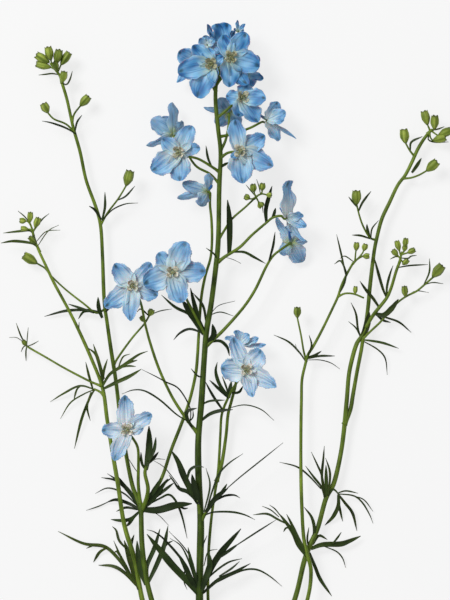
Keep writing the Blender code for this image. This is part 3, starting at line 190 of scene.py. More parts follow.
def sweep(line, radius, tint, sides=12, seed=0.0):
    """Ring k is line(k) + radius(k) times the directions round it; the tint has a row for each ring."""
    _, across, up = frame_along(line)
    a = once_round(sides)
    rings = line[:, None] + radius[:, None, None] * round_it(a, across, up)
    return close_rings(rings, length_along(line)[:, None] / MM, np.abs(a / np.pi - 1), tint[:, None], seed)


test = sweep(place([(0, 0, 5), (9, 0, 5), (18, 0, 5)]), np.full(3, MM), np.tile(colour("#4A5A29"), (3, 1)))
print("a test tube has", len(test["points"]), "points")

# %% [markdown]
# ## From arrays to a Blender object
#
# All the shapes of one piece go into one mesh. foreach_set hands Blender whole arrays at once, far quicker
# than adding corners one at a time. The grain and the tint sit on the points as attributes, where the
# materials read them.


# %% Build one finished piece and let it stand for its node
def in_scene(name, data):
    """A new object with that data, linked to the scene."""
    made = bpy.data.objects.new(name, data)
    bpy.context.scene.collection.objects.link(made)
    return made


def build(name, shapes, material):
    """Every shape's points one after another; faces shifted by the number of points before them."""
    starts = np.cumsum([0] + [len(s["points"]) for s in shapes])
    points = np.vstack([s["points"] for s in shapes])
    quads = np.vstack([s["quads"] + start for s, start in zip(shapes, starts)])
    fans = np.vstack([s["fans"] + start for s, start in zip(shapes, starts)])
    mesh = bpy.data.meshes.new(name + "_fine")
    mesh.vertices.add(len(points))
    mesh.vertices.foreach_set("co", points.astype(np.float32).ravel())
    mesh.loops.add(quads.size + fans.size)
    mesh.loops.foreach_set("vertex_index", np.concatenate([quads.ravel(), fans.ravel()]).astype(np.int32))
    mesh.polygons.add(len(quads) + len(fans))
    corner = np.concatenate([4 * np.arange(len(quads)), quads.size + 3 * np.arange(len(fans))])
    mesh.polygons.foreach_set("loop_start", corner.astype(np.int32))
    mesh.update(calc_edges=True)
    for key in ("grain", "tint"):
        values = np.vstack([s[key] for s in shapes]).astype(np.float32)
        mesh.attributes.new(key, "FLOAT_VECTOR", "POINT").data.foreach_set("vector", values.ravel())
    mesh.validate()
    mesh.shade_smooth()
    mesh.materials.append(material)
    piece = in_scene(name + "_fine", mesh)
    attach(piece, "root")
    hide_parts(name)
    return piece


print("ready to build", len(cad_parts), "pieces")

# %% [markdown]
# ## The plan of the stems
#
# Each stem is a plan of three lists. A stalk is its radius in mm at foot and tip, then px, px and mm up for
# every point it goes through; a flower's number at the end joins it to that flower's back. A leaf lobe is
# its width in pixels, its height in mm at root and tip, then px and px for its points from root to tip. A
# bud is its width in mm, then px, px and mm up for its foot and its tip.

# %% Start an empty plan
PLAN = {}


def plan(name, stalks, blades, buds=()):
    """Keep the three lists of a stem and print how long they are."""
    PLAN[name] = (stalks, blades, buds)
    print(name, "has", len(stalks), "stalks,", len(blades), "leaf lobes and", len(buds), "buds")


print("the plan is empty:", PLAN)

# %% [markdown]
# ## The left outer stem
#
# The youngest stem is a lighter yellow-green than the rest. It crosses in front of its neighbour, carries
# one side branch with a single bud, and ends in a spray of tiny buds.

# %% The left outer stem
plan("stem_left_outer", stalks=[
    (2.5, 1.05, 186, 768, 9, 172, 722, 8, 156, 655, 6, 142, 600, 6, 135, 562, 8, 126, 532, 11, 122, 513, 13,
     118, 485, 14, 112, 450, 14, 107, 419, 13, 102.5, 388, 13, 91, 358, 13, 78.5, 330, 13, 67, 307, 13,
     54, 283, 13, 45, 264, 13, 38, 249, 13, 33.5, 236, 13),
    (0.9, 0.8, 101, 386, 13, 88, 380.5, 12, 64, 368, 10, 45, 357, 8, 30, 348.5, 6, 25, 345, 5),
    (1, 0.8, 104, 396, 13, 100, 392, 12, 94, 389, 11), (0.8, 0.7, 40, 252, 13, 38, 247, 14, 36, 243, 14.5),
], blades=[
    (2.3, 11, 1, 94.5, 389.5, 79.6, 386, 63.3, 393.7, 50, 402),
    (2.1, 10, 4, 80, 386.5, 76.5, 390, 73.5, 400), (1.7, 11, 1, 94.5, 389.5, 84, 394, 70, 403, 60, 419),
    (3.1, 11, 2, 94.5, 389.5, 89, 399, 81, 420, 74, 449), (2.3, 11, 4, 91, 392, 87, 407, 90, 421),
    (2.6, 11, 16, 93, 390, 89, 376, 85.7, 362), (3.1, 14, 18, 103, 384, 101, 372, 96, 355, 87, 347),
    (3.2, 15, 20, 104, 379, 99, 362, 93.4, 344), (2.8, 15, 18, 103, 380, 104, 370, 107.5, 359),
    (3.5, 14, 20, 102, 387, 110, 374, 124, 365, 138, 355, 148, 351),
    (1.8, 16, 20, 118, 368.5, 123, 357, 130, 354), (2.4, 16, 19, 124, 365, 131, 362, 137.5, 360),
    (2.4, 16, 19, 120, 367.5, 128, 366, 136, 366.5),
    (4.1, 14, 18, 103, 389, 116, 382.5, 130, 376, 141.5, 369), (1.7, 5, 8, 26.5, 345.5, 21, 337, 15.8, 323),
    (0.8, 5, 2, 26.5, 345.5, 17, 338, 8.7, 337.6), (1.2, 5, 9, 26.5, 345.5, 27, 338, 28, 327.5),
    (1.2, 6, 7, 27, 346.3, 32, 344.5, 38.3, 341), (1.3, 5, 1, 26.5, 345.5, 23, 347, 20.5, 352),
    (1.7, 5, 1, 26.5, 345.5, 25.5, 352, 25.5, 361), (3.1, 14, 12, 37, 246.5, 31, 243, 14, 241, 0.5, 243),
    (2.5, 14, 10, 35, 240, 31, 231, 21, 231, 3, 233), (1.1, 14, 9, 37, 247, 48, 231, 58.5, 225),
    (1.1, 14, 8, 36, 242, 46, 231.5, 60, 230), (1.6, 13, 10, 83, 339.5, 79, 331, 79, 322),
    (3.7, 6, 1, 139, 590, 129, 574, 117, 558, 104, 547, 83, 544, 57.5, 532),
    (3.3, 5, 1, 106, 548.5, 99, 553, 93, 563), (2.5, 5, 3, 105, 547.5, 96, 545, 86, 549),
    (3.8, 6, 1, 136, 586, 125, 574, 113, 567, 98, 566),
    (2.8, 7, 9, 136, 586, 126, 567, 120, 556, 113.5, 541), (2.8, 7, 6, 121, 558, 117, 552, 114, 553),
    (6.5, 7, 5, 139, 590, 133, 570, 128.5, 556, 124, 541), (3.4, 6, 7, 129, 556, 131, 544, 134, 535),
    (2.8, 6, 4, 126, 549, 119, 541, 116, 531, 112, 527),
], buds=[
    (4, 36, 243.5, 15, 29, 236.8, 17), (3.6, 26, 346, 5.5, 22.6, 340.4, 7),
])

# %% [markdown]
# ## The left inner stems
#
# This one forks low down into three: the tallest left stem, the stalk of the low left flower, and a long
# light stem that runs behind everything up to the centre.

# %% The left inner stems
plan("stem_left_inner", stalks=[
    (2.4, 2, 196, 768, 11, 186, 722, 12, 168, 655, 14, 151.6, 600, 14, 146, 576, 14, 142, 545, 13,
     141, 512, 11, 140, 503, 10),
    (1.75, 1.25, 141, 510, 10, 136, 496, 8, 132, 485, 7, 126.5, 458, 6, 120.3, 419, 6, 115.5, 380, 6,
     111, 351, 7, 107, 323, 8, 104, 300, 9, 102.4, 257, 10, 100.5, 226, 10, 95.7, 207, 10, 86, 180, 10,
     80, 152, 10, 73, 127, 10, 67, 100, 10, 62, 83, 11),
    (1.4, 1, 140.5, 506, 10, 138.3, 485, 13, 138.5, 465, 18, 138, 448, 24, 133, 438, 28, "19"),
    (1.5, 1, 141, 509, 10, 148, 503, 7, 156, 489, 5.5, 163, 475, 5, 171.2, 450, 4.5, 181, 425, 4.5,
     189.4, 401, 4.5, 195.5, 375, 5, 197.5, 355, 5, 198.5, 338, 5, 201, 300, 7, 205, 277, 9, 210.5, 258, 11,
     212, 240, 12, 211.5, 220, 12, 210, 205, 13, "13"),
    (0.9, 0.8, 113, 368, 6, 117, 359, 7, 131.6, 338.6, 8, 143.9, 324.3, 9, 149, 316, 11),
    (0.8, 0.7, 101, 224, 10, 108, 212, 12, 118, 199, 14, 126, 186, 16),
    (0.8, 0.7, 74, 132, 10, 66, 124, 11, 54, 119, 12, 48, 113, 13),
    (0.8, 0.7, 72, 122, 10, 74, 114, 11, 80, 106, 12),
    (0.8, 0.7, 105, 309, 9, 96, 313, 10, 84, 304, 10, 66, 290, 8, 52, 277, 7, 45, 268.5, 7,
     40.5, 265.5, 7.5, 37, 263.5, 8.5),
    (1.7, 1.4, 141, 512, 10, 146, 500, 13, 148, 488, 15, 145, 474, 16, 146, 466, 16),
], blades=[
    (3, 10, 3, 100, 312, 85, 310, 65, 311, 44, 316.5), (2.7, 11, 8, 94, 313, 84, 309.5, 68, 304),
    (2.5, 10, 4, 90, 311.5, 83, 312, 78, 319), (4.5, 10, 15, 102, 318, 98.5, 308, 98, 297),
    (2.8, 12, 10, 105.5, 312, 117, 300, 128, 299), (2.8, 11, 17, 102, 220, 105, 207, 105, 192),
    (2.8, 11, 15, 101, 219, 95, 210, 89, 206), (1.5, 11, 17, 102, 221, 112, 210, 125, 204, 138, 203),
    (2.1, 11, 16, 76, 134, 66, 128, 52, 123, 42, 121), (2.1, 11, 15, 75, 131, 77, 122, 82, 115),
    (2.1, 12, 16, 118, 200, 126, 196, 135, 186), (1.8, 12, 15, 149, 316, 141, 309, 137, 312),
    (1.2, 12, 14, 150, 315, 160, 311, 172, 309), (8.1, 11, 7, 142, 510, 158, 510.5, 175, 506, 192, 504),
    (2.3, 7, 4, 178, 506, 184, 509, 188, 508.5), (5.7, 11, 9, 143, 508, 151, 501, 160, 489, 167.5, 479),
    (3.4, 9, 7, 155, 498, 165, 490, 174, 483), (2.6, 9, 6, 158, 494, 165, 483, 172, 478),
    (2.4, 10, 1, 146, 506, 160, 498.5, 169, 495, 176, 502, 182, 517, 187, 539),
    (0.8, 9, 2, 150, 511, 159, 516, 168.5, 526), (4.9, 10, 13, 145, 506, 150, 497, 156, 487, 161, 478),
    (7.1, 16, 16, 146, 470, 148, 458, 149.5, 444, 149, 426),
    (3.9, 16, 18, 148, 462, 153, 453, 155, 446, 156, 437), (3.4, 16, 13, 148, 464, 153.5, 458, 158.5, 452),
    (0.9, 16, 14, 149, 463, 156, 459, 165, 459.5), (3.1, 16, 19, 146, 470, 142, 463, 141, 452),
    (0.9, 12, 14, 138.5, 474, 133, 466, 127.5, 457), (4.4, 10, 6, 140, 508, 132, 496, 124, 486, 117, 476),
    (2.5, 9, 4, 137, 503, 129, 490, 118, 481, 107, 474), (2.4, 8, 2, 128, 492, 116, 481, 101, 478),
    (1.9, 9, 2, 138, 507, 124, 494, 108, 488.5, 95, 494),
    (3.7, 10, 2, 139, 509, 128, 503.5, 116, 500, 106, 503), (1.4, 2.5, 1, 109, 502, 98, 507, 86, 511),
    (2.8, 9, 2, 138, 510, 126, 508, 116, 512), (3.9, 10, 3, 139, 512, 131, 519, 122, 521, 110.5, 520),
    (3.4, 9, 3, 135, 516, 129, 524, 126, 527), (4.7, 14, 11, 147.5, 580, 147, 566, 154, 549, 160, 529),
    (5.1, 14, 13, 148, 583, 157, 564, 164, 546, 168, 526), (2.8, 12, 10, 160, 555, 166, 545, 173, 541),
    (6, 14, 12, 146, 585, 140.5, 570, 138, 554, 137, 541),
], buds=[
    (7, 37, 263.5, 8.5, 23, 254.8, 10), (7.3, 126, 186, 16, 130.5, 170.3, 18),
    (6.4, 48, 113, 13, 43, 102.9, 14), (6.4, 80, 106, 12, 89, 95.9, 13),
    (5, 149, 316, 11, 152.4, 309.3, 12), (3.9, 145, 322, 9.5, 140.5, 316.4, 11),
])

# %% [markdown]
# ## The thick centre stem
#
# The flowering stem. Most flowers hang on it by their own thin stalks, and two branches on its right carry
# a flower each that is seen from the side and from behind.

# %% The thick centre stem
plan("stem_centre", stalks=[
    (3.5, 1.5, 205.5, 768, 9, 203, 715, 10, 201, 655, 11, 199.5, 600, 12, 200, 562, 12.5, 200.7, 520, 13,
     198.6, 478, 13, 198.3, 440, 13, 201.5, 401, 13.5, 204, 362, 14, 206.5, 331, 15, 211, 305, 16,
     215.5, 270, 17, 218.3, 240, 18, 219.2, 190, 19, 220.6, 154, 20, 218, 128, 20, 215.7, 104, 20,
     216, 86, 20, 220, 68, 18, 224, 55, 16),
    (1.3, 0.95, 198, 434, 13, 190, 424, 13, 178, 406.7, 13, 169.8, 392.6, 12, 159, 369, 13, 150.5, 344, 15,
     145.2, 324, 18, 141.5, 305, 22, 137, 294, 24, "17"),
    (1.2, 0.9, 206.5, 337, 15, 198, 321, 18, 186, 298, 23, 177, 279, 28, "16"),
    (1.4, 0.95, 204.5, 348, 14, 213, 340, 15, 224, 329.5, 16, 243, 308, 17, 255, 290, 18, 266, 267, 19,
     273, 256, 20, 281, 249.5, 21, 289, 244, 20, "15"),
    (1.3, 0.95, 218, 262, 17, 226, 256, 18, 240, 247, 18, 252, 235, 19, 266, 223, 19, 273, 217.5, 20,
     281, 216, 21, "14"),
    (1, 0.8, 218.5, 240, 18, 224, 231, 19, 232, 219, 20, 245, 207.5, 21, 254, 199, 21),
    (1.1, 0.9, 219.3, 172, 19, 212, 167, 21, 198, 159, 24, 184, 156, 26, "10"),
    (1, 0.9, 219.3, 184, 19, 210, 174, 18, 196, 166, 17, 185, 150, 14, 179, 140, 13, "11"),
    (1.1, 0.9, 220.4, 158, 20, 228, 153, 22, 237, 152, 26, "07"),
    (1.1, 0.9, 217, 118, 20, 226, 111, 22, 234, 104, 23, "06"),
    (1.1, 0.9, 219, 137, 20, 233, 134, 18, 250, 128, 17, 262, 122, 18, "08"),
    (1.1, 0.9, 220.8, 150, 20, 225, 142, 19, 228, 130, 17, 229, 120, 15, "09"),
    (1.2, 0.9, 216, 92, 20, 212, 84, 23, 209, 74, 29, "01"),
    (1.2, 0.9, 216.5, 84, 19, 223, 76, 22, 228, 66, 25, "02"),
    (0.9, 0.8, 220, 70, 18, 213, 62, 16, 209, 55, 16, "03"), (0.9, 0.8, 224, 56, 16, 223, 48, 14, "04"),
    (0.9, 0.8, 223, 58, 17, 231, 46, 16, 236, 38, 18, "05"),
    (0.9, 0.8, 216, 84, 20, 209, 76, 14, 203, 66, 11, "12"),
    (0.9, 0.8, 218, 78, 19, 229, 76, 14, 238, 74, 12, "21"),
    (1.4, 1.2, 200.4, 524, 13, 203.5, 517, 15, 207, 511, 17),
    (1.4, 1.2, 200, 516, 13, 199, 508, 16, 197.5, 500, 18),
    (1.2, 1, 198.2, 434, 13, 194, 428, 15, 187, 421, 17),
], blades=[
    (6.7, 18, 20, 198, 503, 191, 490, 184, 476, 178, 461, 171, 450),
    (6.2, 18, 21, 198.5, 504, 197, 494, 194, 484, 192, 474),
    (3.1, 20, 24, 187, 480, 190, 470, 197, 466, 204, 467),
    (4.4, 18, 18, 196, 500, 188, 492, 180, 489, 174, 483),
    (1, 18, 20, 182, 490, 174, 479, 164, 467, 153, 460), (1.7, 18, 15, 178, 487, 172, 479, 169, 475),
    (2, 17, 15, 204, 512, 210, 486, 206, 468),
    (2.1, 18, 21, 206, 512, 212, 492, 219, 474, 229, 463, 243, 453.5),
    (5.5, 18, 21, 206, 512, 213, 501, 220, 494, 228, 488),
    (1.5, 20, 24, 224, 491, 240, 477, 260, 461, 283, 442.5), (3.1, 18, 22, 218, 496, 223, 490, 227, 483.5),
    (2.5, 18, 14, 213, 502, 224, 496, 234, 495, 240, 498),
    (2.3, 17, 10, 205, 515, 214, 512, 232, 512, 245, 515, 255, 520),
    (2, 17, 20, 187, 421, 176, 414, 160, 400, 145, 391, 133, 390, 122, 394),
    (1.6, 17, 20, 190, 423, 190, 408, 179, 389, 166, 382, 155, 376, 142, 369.5),
    (3.9, 17, 21, 192, 427, 187, 417, 188, 411, 197, 408), (1.6, 17, 20, 189, 422, 193, 417, 193, 410),
    (3.9, 13, 22, 201, 421, 210, 414, 221, 410.5, 233, 409.5),
    (2.5, 13, 22, 201.5, 405, 210, 401, 225, 400), (8.6, 15, 20, 204.5, 334, 197, 321, 190, 311, 182, 300),
    (5.2, 15, 22, 205, 335, 200, 324, 195, 306, 190.5, 288), (2.9, 15, 23, 206, 322, 203, 306, 193, 293),
    (3.3, 15, 24, 202, 330, 190, 315, 175, 307, 161.5, 295),
    (2.7, 15, 10, 203, 333, 190, 329, 180, 333, 173.5, 340), (0.8, 15, 19, 208, 318, 218, 306, 235, 301),
    (1.3, 15, 18, 208, 316, 220, 312, 233.5, 316), (6, 15, 18, 207, 343, 213.5, 335, 212.5, 324),
    (3.4, 15, 12, 210, 342, 220, 341, 227, 347, 229.5, 356), (1.9, 15, 17, 205, 377, 198, 376, 191, 368.5),
    (6.3, 18, 24, 229, 254, 229.5, 238, 229.3, 220, 227.5, 200),
    (2.9, 18, 15, 232, 252, 244, 252, 254, 257, 265.5, 263.5),
    (0.7, 17, 14, 224, 257, 233, 259.5, 241, 263.5),
    (4.6, 19, 18.5, 266.3, 222.5, 265.6, 210, 268.4, 198, 272, 186),
    (3.3, 19, 23, 272, 218.5, 274, 214, 275.5, 208), (2.6, 20, 24, 269, 260.5, 273, 246, 275, 232),
    (1.8, 18, 22, 219, 262, 214, 254, 206, 248), (3.1, 20, 25, 220.6, 167.5, 224, 165, 229, 162.5),
    (2.6, 20, 24, 212, 167.5, 208, 158, 206, 146),
    (7.6, 13, 20, 198, 594, 187, 581, 172, 565, 159, 549, 147, 534),
    (2.7, 13, 21, 197, 592, 184, 563, 166, 541, 155, 532, 147, 529.5),
    (1.4, 13, 22, 198, 590, 192, 562, 184, 547, 169, 531),
    (1.8, 13, 19, 197, 588, 189, 562, 181, 546, 170, 538),
    (5.5, 13, 18, 198, 592, 191, 579, 185, 566, 178, 553),
    (4.2, 13, 20, 199, 588, 194.5, 574, 191, 561, 188, 547),
    (1.8, 12, 6, 191, 581, 185, 571, 184, 582, 187, 590),
    (6.8, 14, 19, 201, 592, 206, 578, 210, 565, 209, 552),
    (6.7, 14, 20, 201, 592, 211, 568, 221, 552, 231, 540, 241, 528.5),
    (3.4, 16, 20, 217, 559, 227, 552, 238.6, 543.5), (1.8, 18, 23, 236, 545.5, 255, 533, 276, 519.5),
    (2.2, 14, 18, 206, 580, 217, 570, 229, 562, 242, 558.5),
    (2.3, 14, 16, 219, 576.5, 231, 569, 239.5, 561.5),
    (3.9, 13, 14, 202, 594, 218, 580, 233, 573, 250.5, 563.5),
    (2.1, 12, 3, 212, 585, 232, 575, 246, 570, 258, 570.5, 270, 577, 282, 587),
    (1.3, 14, 20, 204, 566, 208, 552, 217.5, 549), (1.5, 13, 17, 201.5, 552, 203.5, 544, 207, 535.5),
])

# %% [markdown]
# ## The thin pair right of the centre
#
# Two thin stems that start as one and carry the low right flower and the one behind it.

# %% The thin pair right of the centre
plan("stem_centre_pair", stalks=[
    (1.4, 1, 214, 768, 6, 213, 722, 5, 211, 655, 4, 208, 600, 4, 208.4, 560, 4, 209, 545, 4, 211.2, 520, 5,
     214, 499, 6, 218.2, 471, 7, 220.3, 436, 9, 221.7, 415, 12, 227.3, 399.6, 17, 235, 385, 22,
     242, 376, 27, "18"),
    (1.5, 1, 216.5, 482, 7, 221.7, 464.2, 8, 226, 436, 8, 228, 415, 9, 231.5, 401, 11, 235.7, 384.2, 13,
     238, 365, 14, 238, 352, 14, "20"),
], blades=[
    (2.9, 13, 18, 224, 412, 213, 396, 205, 381), (1.3, 12, 14, 229, 408, 245, 405, 261, 409.5, 274, 420.5),
    (3.1, 18, 21, 228.5, 398, 219, 389, 209.5, 380),
    (3.7, 18, 23, 229, 397, 220, 385, 215.8, 372, 217.3, 362), (2.1, 18, 21, 229, 397, 226, 386, 222, 376),
    (4.4, 18, 19, 229, 398, 230, 390, 231.5, 381), (2.9, 18, 15, 232, 393, 239, 392, 243, 386),
])

# %% [markdown]
# ## The tall right stem
#
# No flowers are open on it yet: four side shoots with one closed bud each, and a young spray at the top.

# %% The tall right stem
plan("stem_right_tall", stalks=[
    (2.4, 1.35, 221, 768, 8, 242, 722, 8, 274, 655, 8, 294.8, 600, 8, 303.8, 563.6, 8, 310, 545.7, 8,
     318, 528, 8, 326, 499, 8, 334, 483.6, 8, 340.4, 456.8, 8, 344, 432, 8, 347, 399.5, 9, 349.5, 372, 9,
     356, 346, 9, 362, 336, 9, 365.8, 325, 9, 368.5, 305, 9, 370, 288, 9, 374, 254, 9, 377, 238, 9,
     382, 219, 9, 389.7, 202.4, 9, 398, 185, 9, 405.5, 175, 9, 412, 162.3, 9, 418, 149, 9, 424, 139, 9,
     428, 134, 9),
    (1.75, 1.45, 344.5, 425, 8, 350.5, 410, 7, 353.2, 395, 7, 357.5, 370.7, 7, 361.5, 350, 8,
     363.5, 336, 9),
    (1.5, 1.2, 365.8, 327, 9, 373.7, 314.6, 11, 379.3, 307.5, 12, 387, 297.5, 13, 391.5, 287, 14,
     396, 272, 14, 399.5, 262.5, 14),
    (0.9, 0.8, 363, 339, 9, 371, 331, 11, 380, 322.5, 12, 390, 311, 11, 399, 301.5, 11, 408, 295.5, 11,
     417, 291, 11, 426, 283.5, 11, 433.5, 277, 11),
    (0.8, 0.7, 376.5, 240, 9, 369.8, 237.3, 11, 363, 225.7, 13, 359, 214, 14, 356.7, 204, 14),
    (0.8, 0.7, 403, 178.5, 9, 411, 177.7, 11, 419, 175, 12, 427, 170.5, 13),
    (0.8, 0.7, 415, 156.5, 9, 410, 150.4, 11, 406, 143.5, 12),
], blades=[
    (2.5, 9, 12, 325, 500, 322, 488, 313.6, 477, 305.5, 466),
    (2.3, 9, 14, 326, 498, 322, 476, 317, 464, 311.3, 452),
    (2.8, 9, 16, 326, 498, 322, 478, 323.4, 458, 324.3, 446),
    (2.5, 10, 15, 328, 496, 330, 480, 329.6, 470, 325.6, 458), (3.9, 9, 13, 327, 498, 326.3, 482, 326, 465),
    (2, 9, 4, 321, 489, 309, 476, 297, 467, 279.6, 462.5), (2.3, 9, 10, 326, 500, 333, 489.5, 340, 496),
    (1.8, 10, 12, 337, 493.5, 346, 491, 358.2, 493.4),
    (1.9, 10, 1, 338, 494, 353.8, 496, 362.7, 503, 369.8, 514.8, 373.5, 524),
    (1.3, 8, 2, 352, 496, 364, 500, 373.4, 512), (3.1, 10, 1, 338, 494, 345, 503, 353, 514, 357.3, 531.5),
    (2.7, 9, 1, 338.5, 495, 339.5, 506, 343, 522),
    (4.2, 10, 1, 338.5, 495, 338.5, 506, 333.5, 517, 325.2, 526),
    (3.4, 8, 12, 311, 549, 314.5, 532, 312, 518, 304, 507), (2.1, 8, 11, 310, 550, 307.5, 540, 309, 527.5),
    (2.9, 8, 6, 313, 545, 319, 536, 327.5, 540),
    (5.7, 8, 5, 311, 549, 322.5, 545, 340.4, 544.4, 350, 541.3, 361, 536.5),
    (2.2, 7, 9, 332, 545, 337, 539, 341.5, 532.5), (1.6, 7, 1, 325, 547, 336.8, 552, 343, 559, 346, 568.5),
    (3.9, 8, 1, 309.5, 553, 315.4, 568, 320.7, 580.5, 332, 597),
    (2.5, 9, 13, 361.5, 339, 358, 329, 356, 314, 351, 302.5),
    (1.6, 9, 12, 361, 338, 356, 328, 348.5, 321.5), (7.3, 9, 11, 362.5, 338, 366.5, 326, 369.5, 312),
    (2.7, 9, 6, 363, 340, 372, 341, 384, 343.3, 399, 348.5),
    (1.7, 9, 2, 363, 341, 377.9, 349.6, 385.6, 358.8, 387.7, 375),
    (5.8, 11, 15, 376, 314, 384, 315, 392, 308, 398.5, 299), (2.7, 11, 8, 376, 314, 383, 320, 391, 322.5),
    (2.3, 11, 4, 378, 315.5, 388, 318, 400, 322.5, 411.6, 332.5),
    (3.4, 11, 16, 379.5, 308, 373.5, 299, 366, 290, 359.8, 281),
    (3.1, 13, 17, 387, 298, 383, 289, 378, 272, 374, 257),
    (2.6, 13, 18, 387, 298, 387, 287, 390, 274, 393, 265.5),
    (1.8, 14, 13, 398, 267.5, 410, 265.5, 428, 264.5), (2, 11, 15, 424, 285, 429.5, 272, 429.5, 258.5),
    (1.1, 11, 8, 406, 297, 416, 291, 429, 292.5), (3, 11, 16, 370, 238, 367.3, 228, 367, 224),
    (1.7, 11, 17, 371, 239.5, 372, 229, 378.5, 220.5), (2.4, 11, 13, 370, 238.5, 361, 235.5, 352, 235),
    (2.6, 14, 18, 358.7, 211, 362, 203.5, 366.5, 197, 371, 191.3),
    (3.9, 10, 15, 412, 172.5, 416.5, 166, 421.5, 158), (2.4, 11, 16, 410.5, 150, 411.5, 142, 422.5, 136.5),
    (2, 14, 16, 357, 207, 352.5, 201.5, 348.6, 196.8), (1.3, 11, 9, 424, 285, 433, 282.5, 443.5, 283.8),
], buds=[
    (7, 356.5, 205, 14, 356.6, 190, 15), (7.2, 426.5, 171, 13, 437.9, 161.2, 14),
    (6.8, 405.9, 143.5, 12, 403.7, 128.6, 13), (7.4, 432.6, 277.2, 11, 442.9, 265, 12),
    (4.8, 405.5, 297, 11.5, 404.4, 285.8, 13),
])

# %% [markdown]
# ## The thin right stem
#
# It crosses over the tall one near its foot and leans back to meet it at the top.

# %% The thin right stem
plan("stem_right_thin", stalks=[
    (2, 0.95, 228, 768, 11, 256, 722, 14, 290, 655, 15, 307.3, 600, 15, 311, 572, 15, 307.5, 555, 15,
     303.8, 538, 14, 302, 510, 13, 301, 474, 12, 301, 430, 12, 301.5, 399, 12, 302, 380, 12, 305, 366, 12,
     308, 355, 12, 313.5, 346, 13, 322.6, 329, 14, 331.8, 310, 15, 337.8, 297, 15, 341.6, 285.4, 15,
     347.4, 273, 16, 352.5, 264, 16),
    (0.8, 0.7, 306.5, 362, 12, 303.5, 350, 13, 301, 335, 14, 297.4, 318, 14),
    (0.8, 0.7, 337.5, 297, 15, 345, 293.5, 16, 354, 294, 16, 364, 298, 15),
], blades=[
    (2.1, 12, 6, 306, 362, 300, 353, 289, 342, 274, 335), (0.7, 11, 13, 298.5, 351, 296.5, 348, 295.5, 344),
    (2, 13, 17, 308, 355, 311.5, 345, 309, 335), (2.8, 12, 15, 308.5, 357, 315, 355, 321.5, 351),
    (2.4, 12, 14, 308, 358.5, 320, 356, 335, 356), (1.1, 12, 3, 308, 360, 320, 360, 331, 363, 340, 369),
    (2.2, 15, 21, 339, 294, 344, 284, 347, 272), (2.1, 16, 20, 346, 276, 341, 253, 336.5, 234.5),
    (2.1, 16, 11, 347, 274, 341, 261, 334.5, 264),
    (4.3, 14, 16, 307, 557, 298.4, 545.7, 293, 533, 286, 522.5, 278, 512.5),
    (3.6, 15, 18, 306, 553, 297, 536, 291, 523, 286.5, 514),
    (2.5, 16, 12, 287, 524, 277, 519, 267, 514, 253, 515), (1.4, 16, 15, 281, 516.5, 275, 509, 269.5, 505),
    (1.4, 16, 17, 279, 517, 271, 510, 262, 506), (2.1, 16, 12, 290.5, 528, 286, 528, 283.5, 532),
], buds=[
    (5.6, 297.4, 318, 14, 297.5, 306.8, 15), (3.4, 355, 294.3, 16, 355.6, 286.1, 17),
])

# %% [markdown]
# ## The bud sprays
#
# At the tip of a stem the youngest buds stand in a small spray, one short stalk each, with a thread-like
# bract or two below them. They are paler and yellower than anything else on the plant.

# %% Spray top left
plan("spray_top_left", stalks=[
    (1.15, 0.8, 62, 83, 11, 60, 76, 12, 56, 70.5, 13, 50, 63, 14),
    (0.6, 0.6, 56.5, 71, 13, 56.5, 67, 14.5, 56, 63.5, 15),
    (0.6, 0.6, 57.5, 72, 13, 59.5, 68, 14, 61, 64.5, 14),
    (0.6, 0.6, 56, 70, 13, 53.5, 68.5, 12.5, 51, 67.3, 12.5),
    (0.6, 0.6, 61, 79.5, 12, 62, 81.5, 13, 62.3, 82.8, 14.5),
    (0.6, 0.6, 53, 66.5, 13.5, 51.5, 63, 15, 51, 60, 16),
], blades=[
    (1.8, 12, 14, 58.5, 74.5, 52, 73.5, 46, 74.2, 38.5, 75),
    (1.8, 11, 14, 61.8, 82.5, 66.5, 84.5, 70, 79, 72.3, 71),
], buds=[
    (6.4, 49.5, 62.5, 14, 35.5, 54.5, 15), (6.2, 51, 60.5, 16, 48, 46.5, 18),
    (6.4, 56, 64, 15, 59.5, 49.5, 18), (6, 60.8, 65, 14, 69.5, 52, 14),
    (5.8, 51, 67.3, 12.5, 35.5, 63.5, 12), (5.6, 62.3, 82.5, 14.5, 64.5, 71, 16),
    (4.6, 57, 70.5, 16, 55, 62, 20),
])

# %% Spray left
plan("spray_left", stalks=[
    (0.85, 0.7, 33.5, 236, 13, 32, 229, 14, 29.6, 222.5, 15),
    (0.6, 0.6, 30.4, 224.5, 15, 28.5, 222, 15.5, 26.5, 221, 16),
    (0.6, 0.6, 32.4, 230.6, 14, 30.5, 229.5, 14, 28.3, 229.2, 14),
    (0.6, 0.6, 32.8, 232.5, 13.5, 34, 229.8, 15, 35.2, 227.8, 15),
], blades=[
    (1.4, 15, 17, 30, 224, 25, 217, 18, 211), (1.6, 14, 12, 33, 232, 42, 219.5, 49, 213.5),
], buds=[
    (4.4, 29.8, 222.5, 15, 30.5, 212, 17), (4.4, 26.5, 221, 16, 19.5, 220.5, 17),
    (5, 35, 228, 15, 38.8, 217.5, 17), (3.8, 28.5, 229.2, 14, 20.5, 228.2, 14),
])

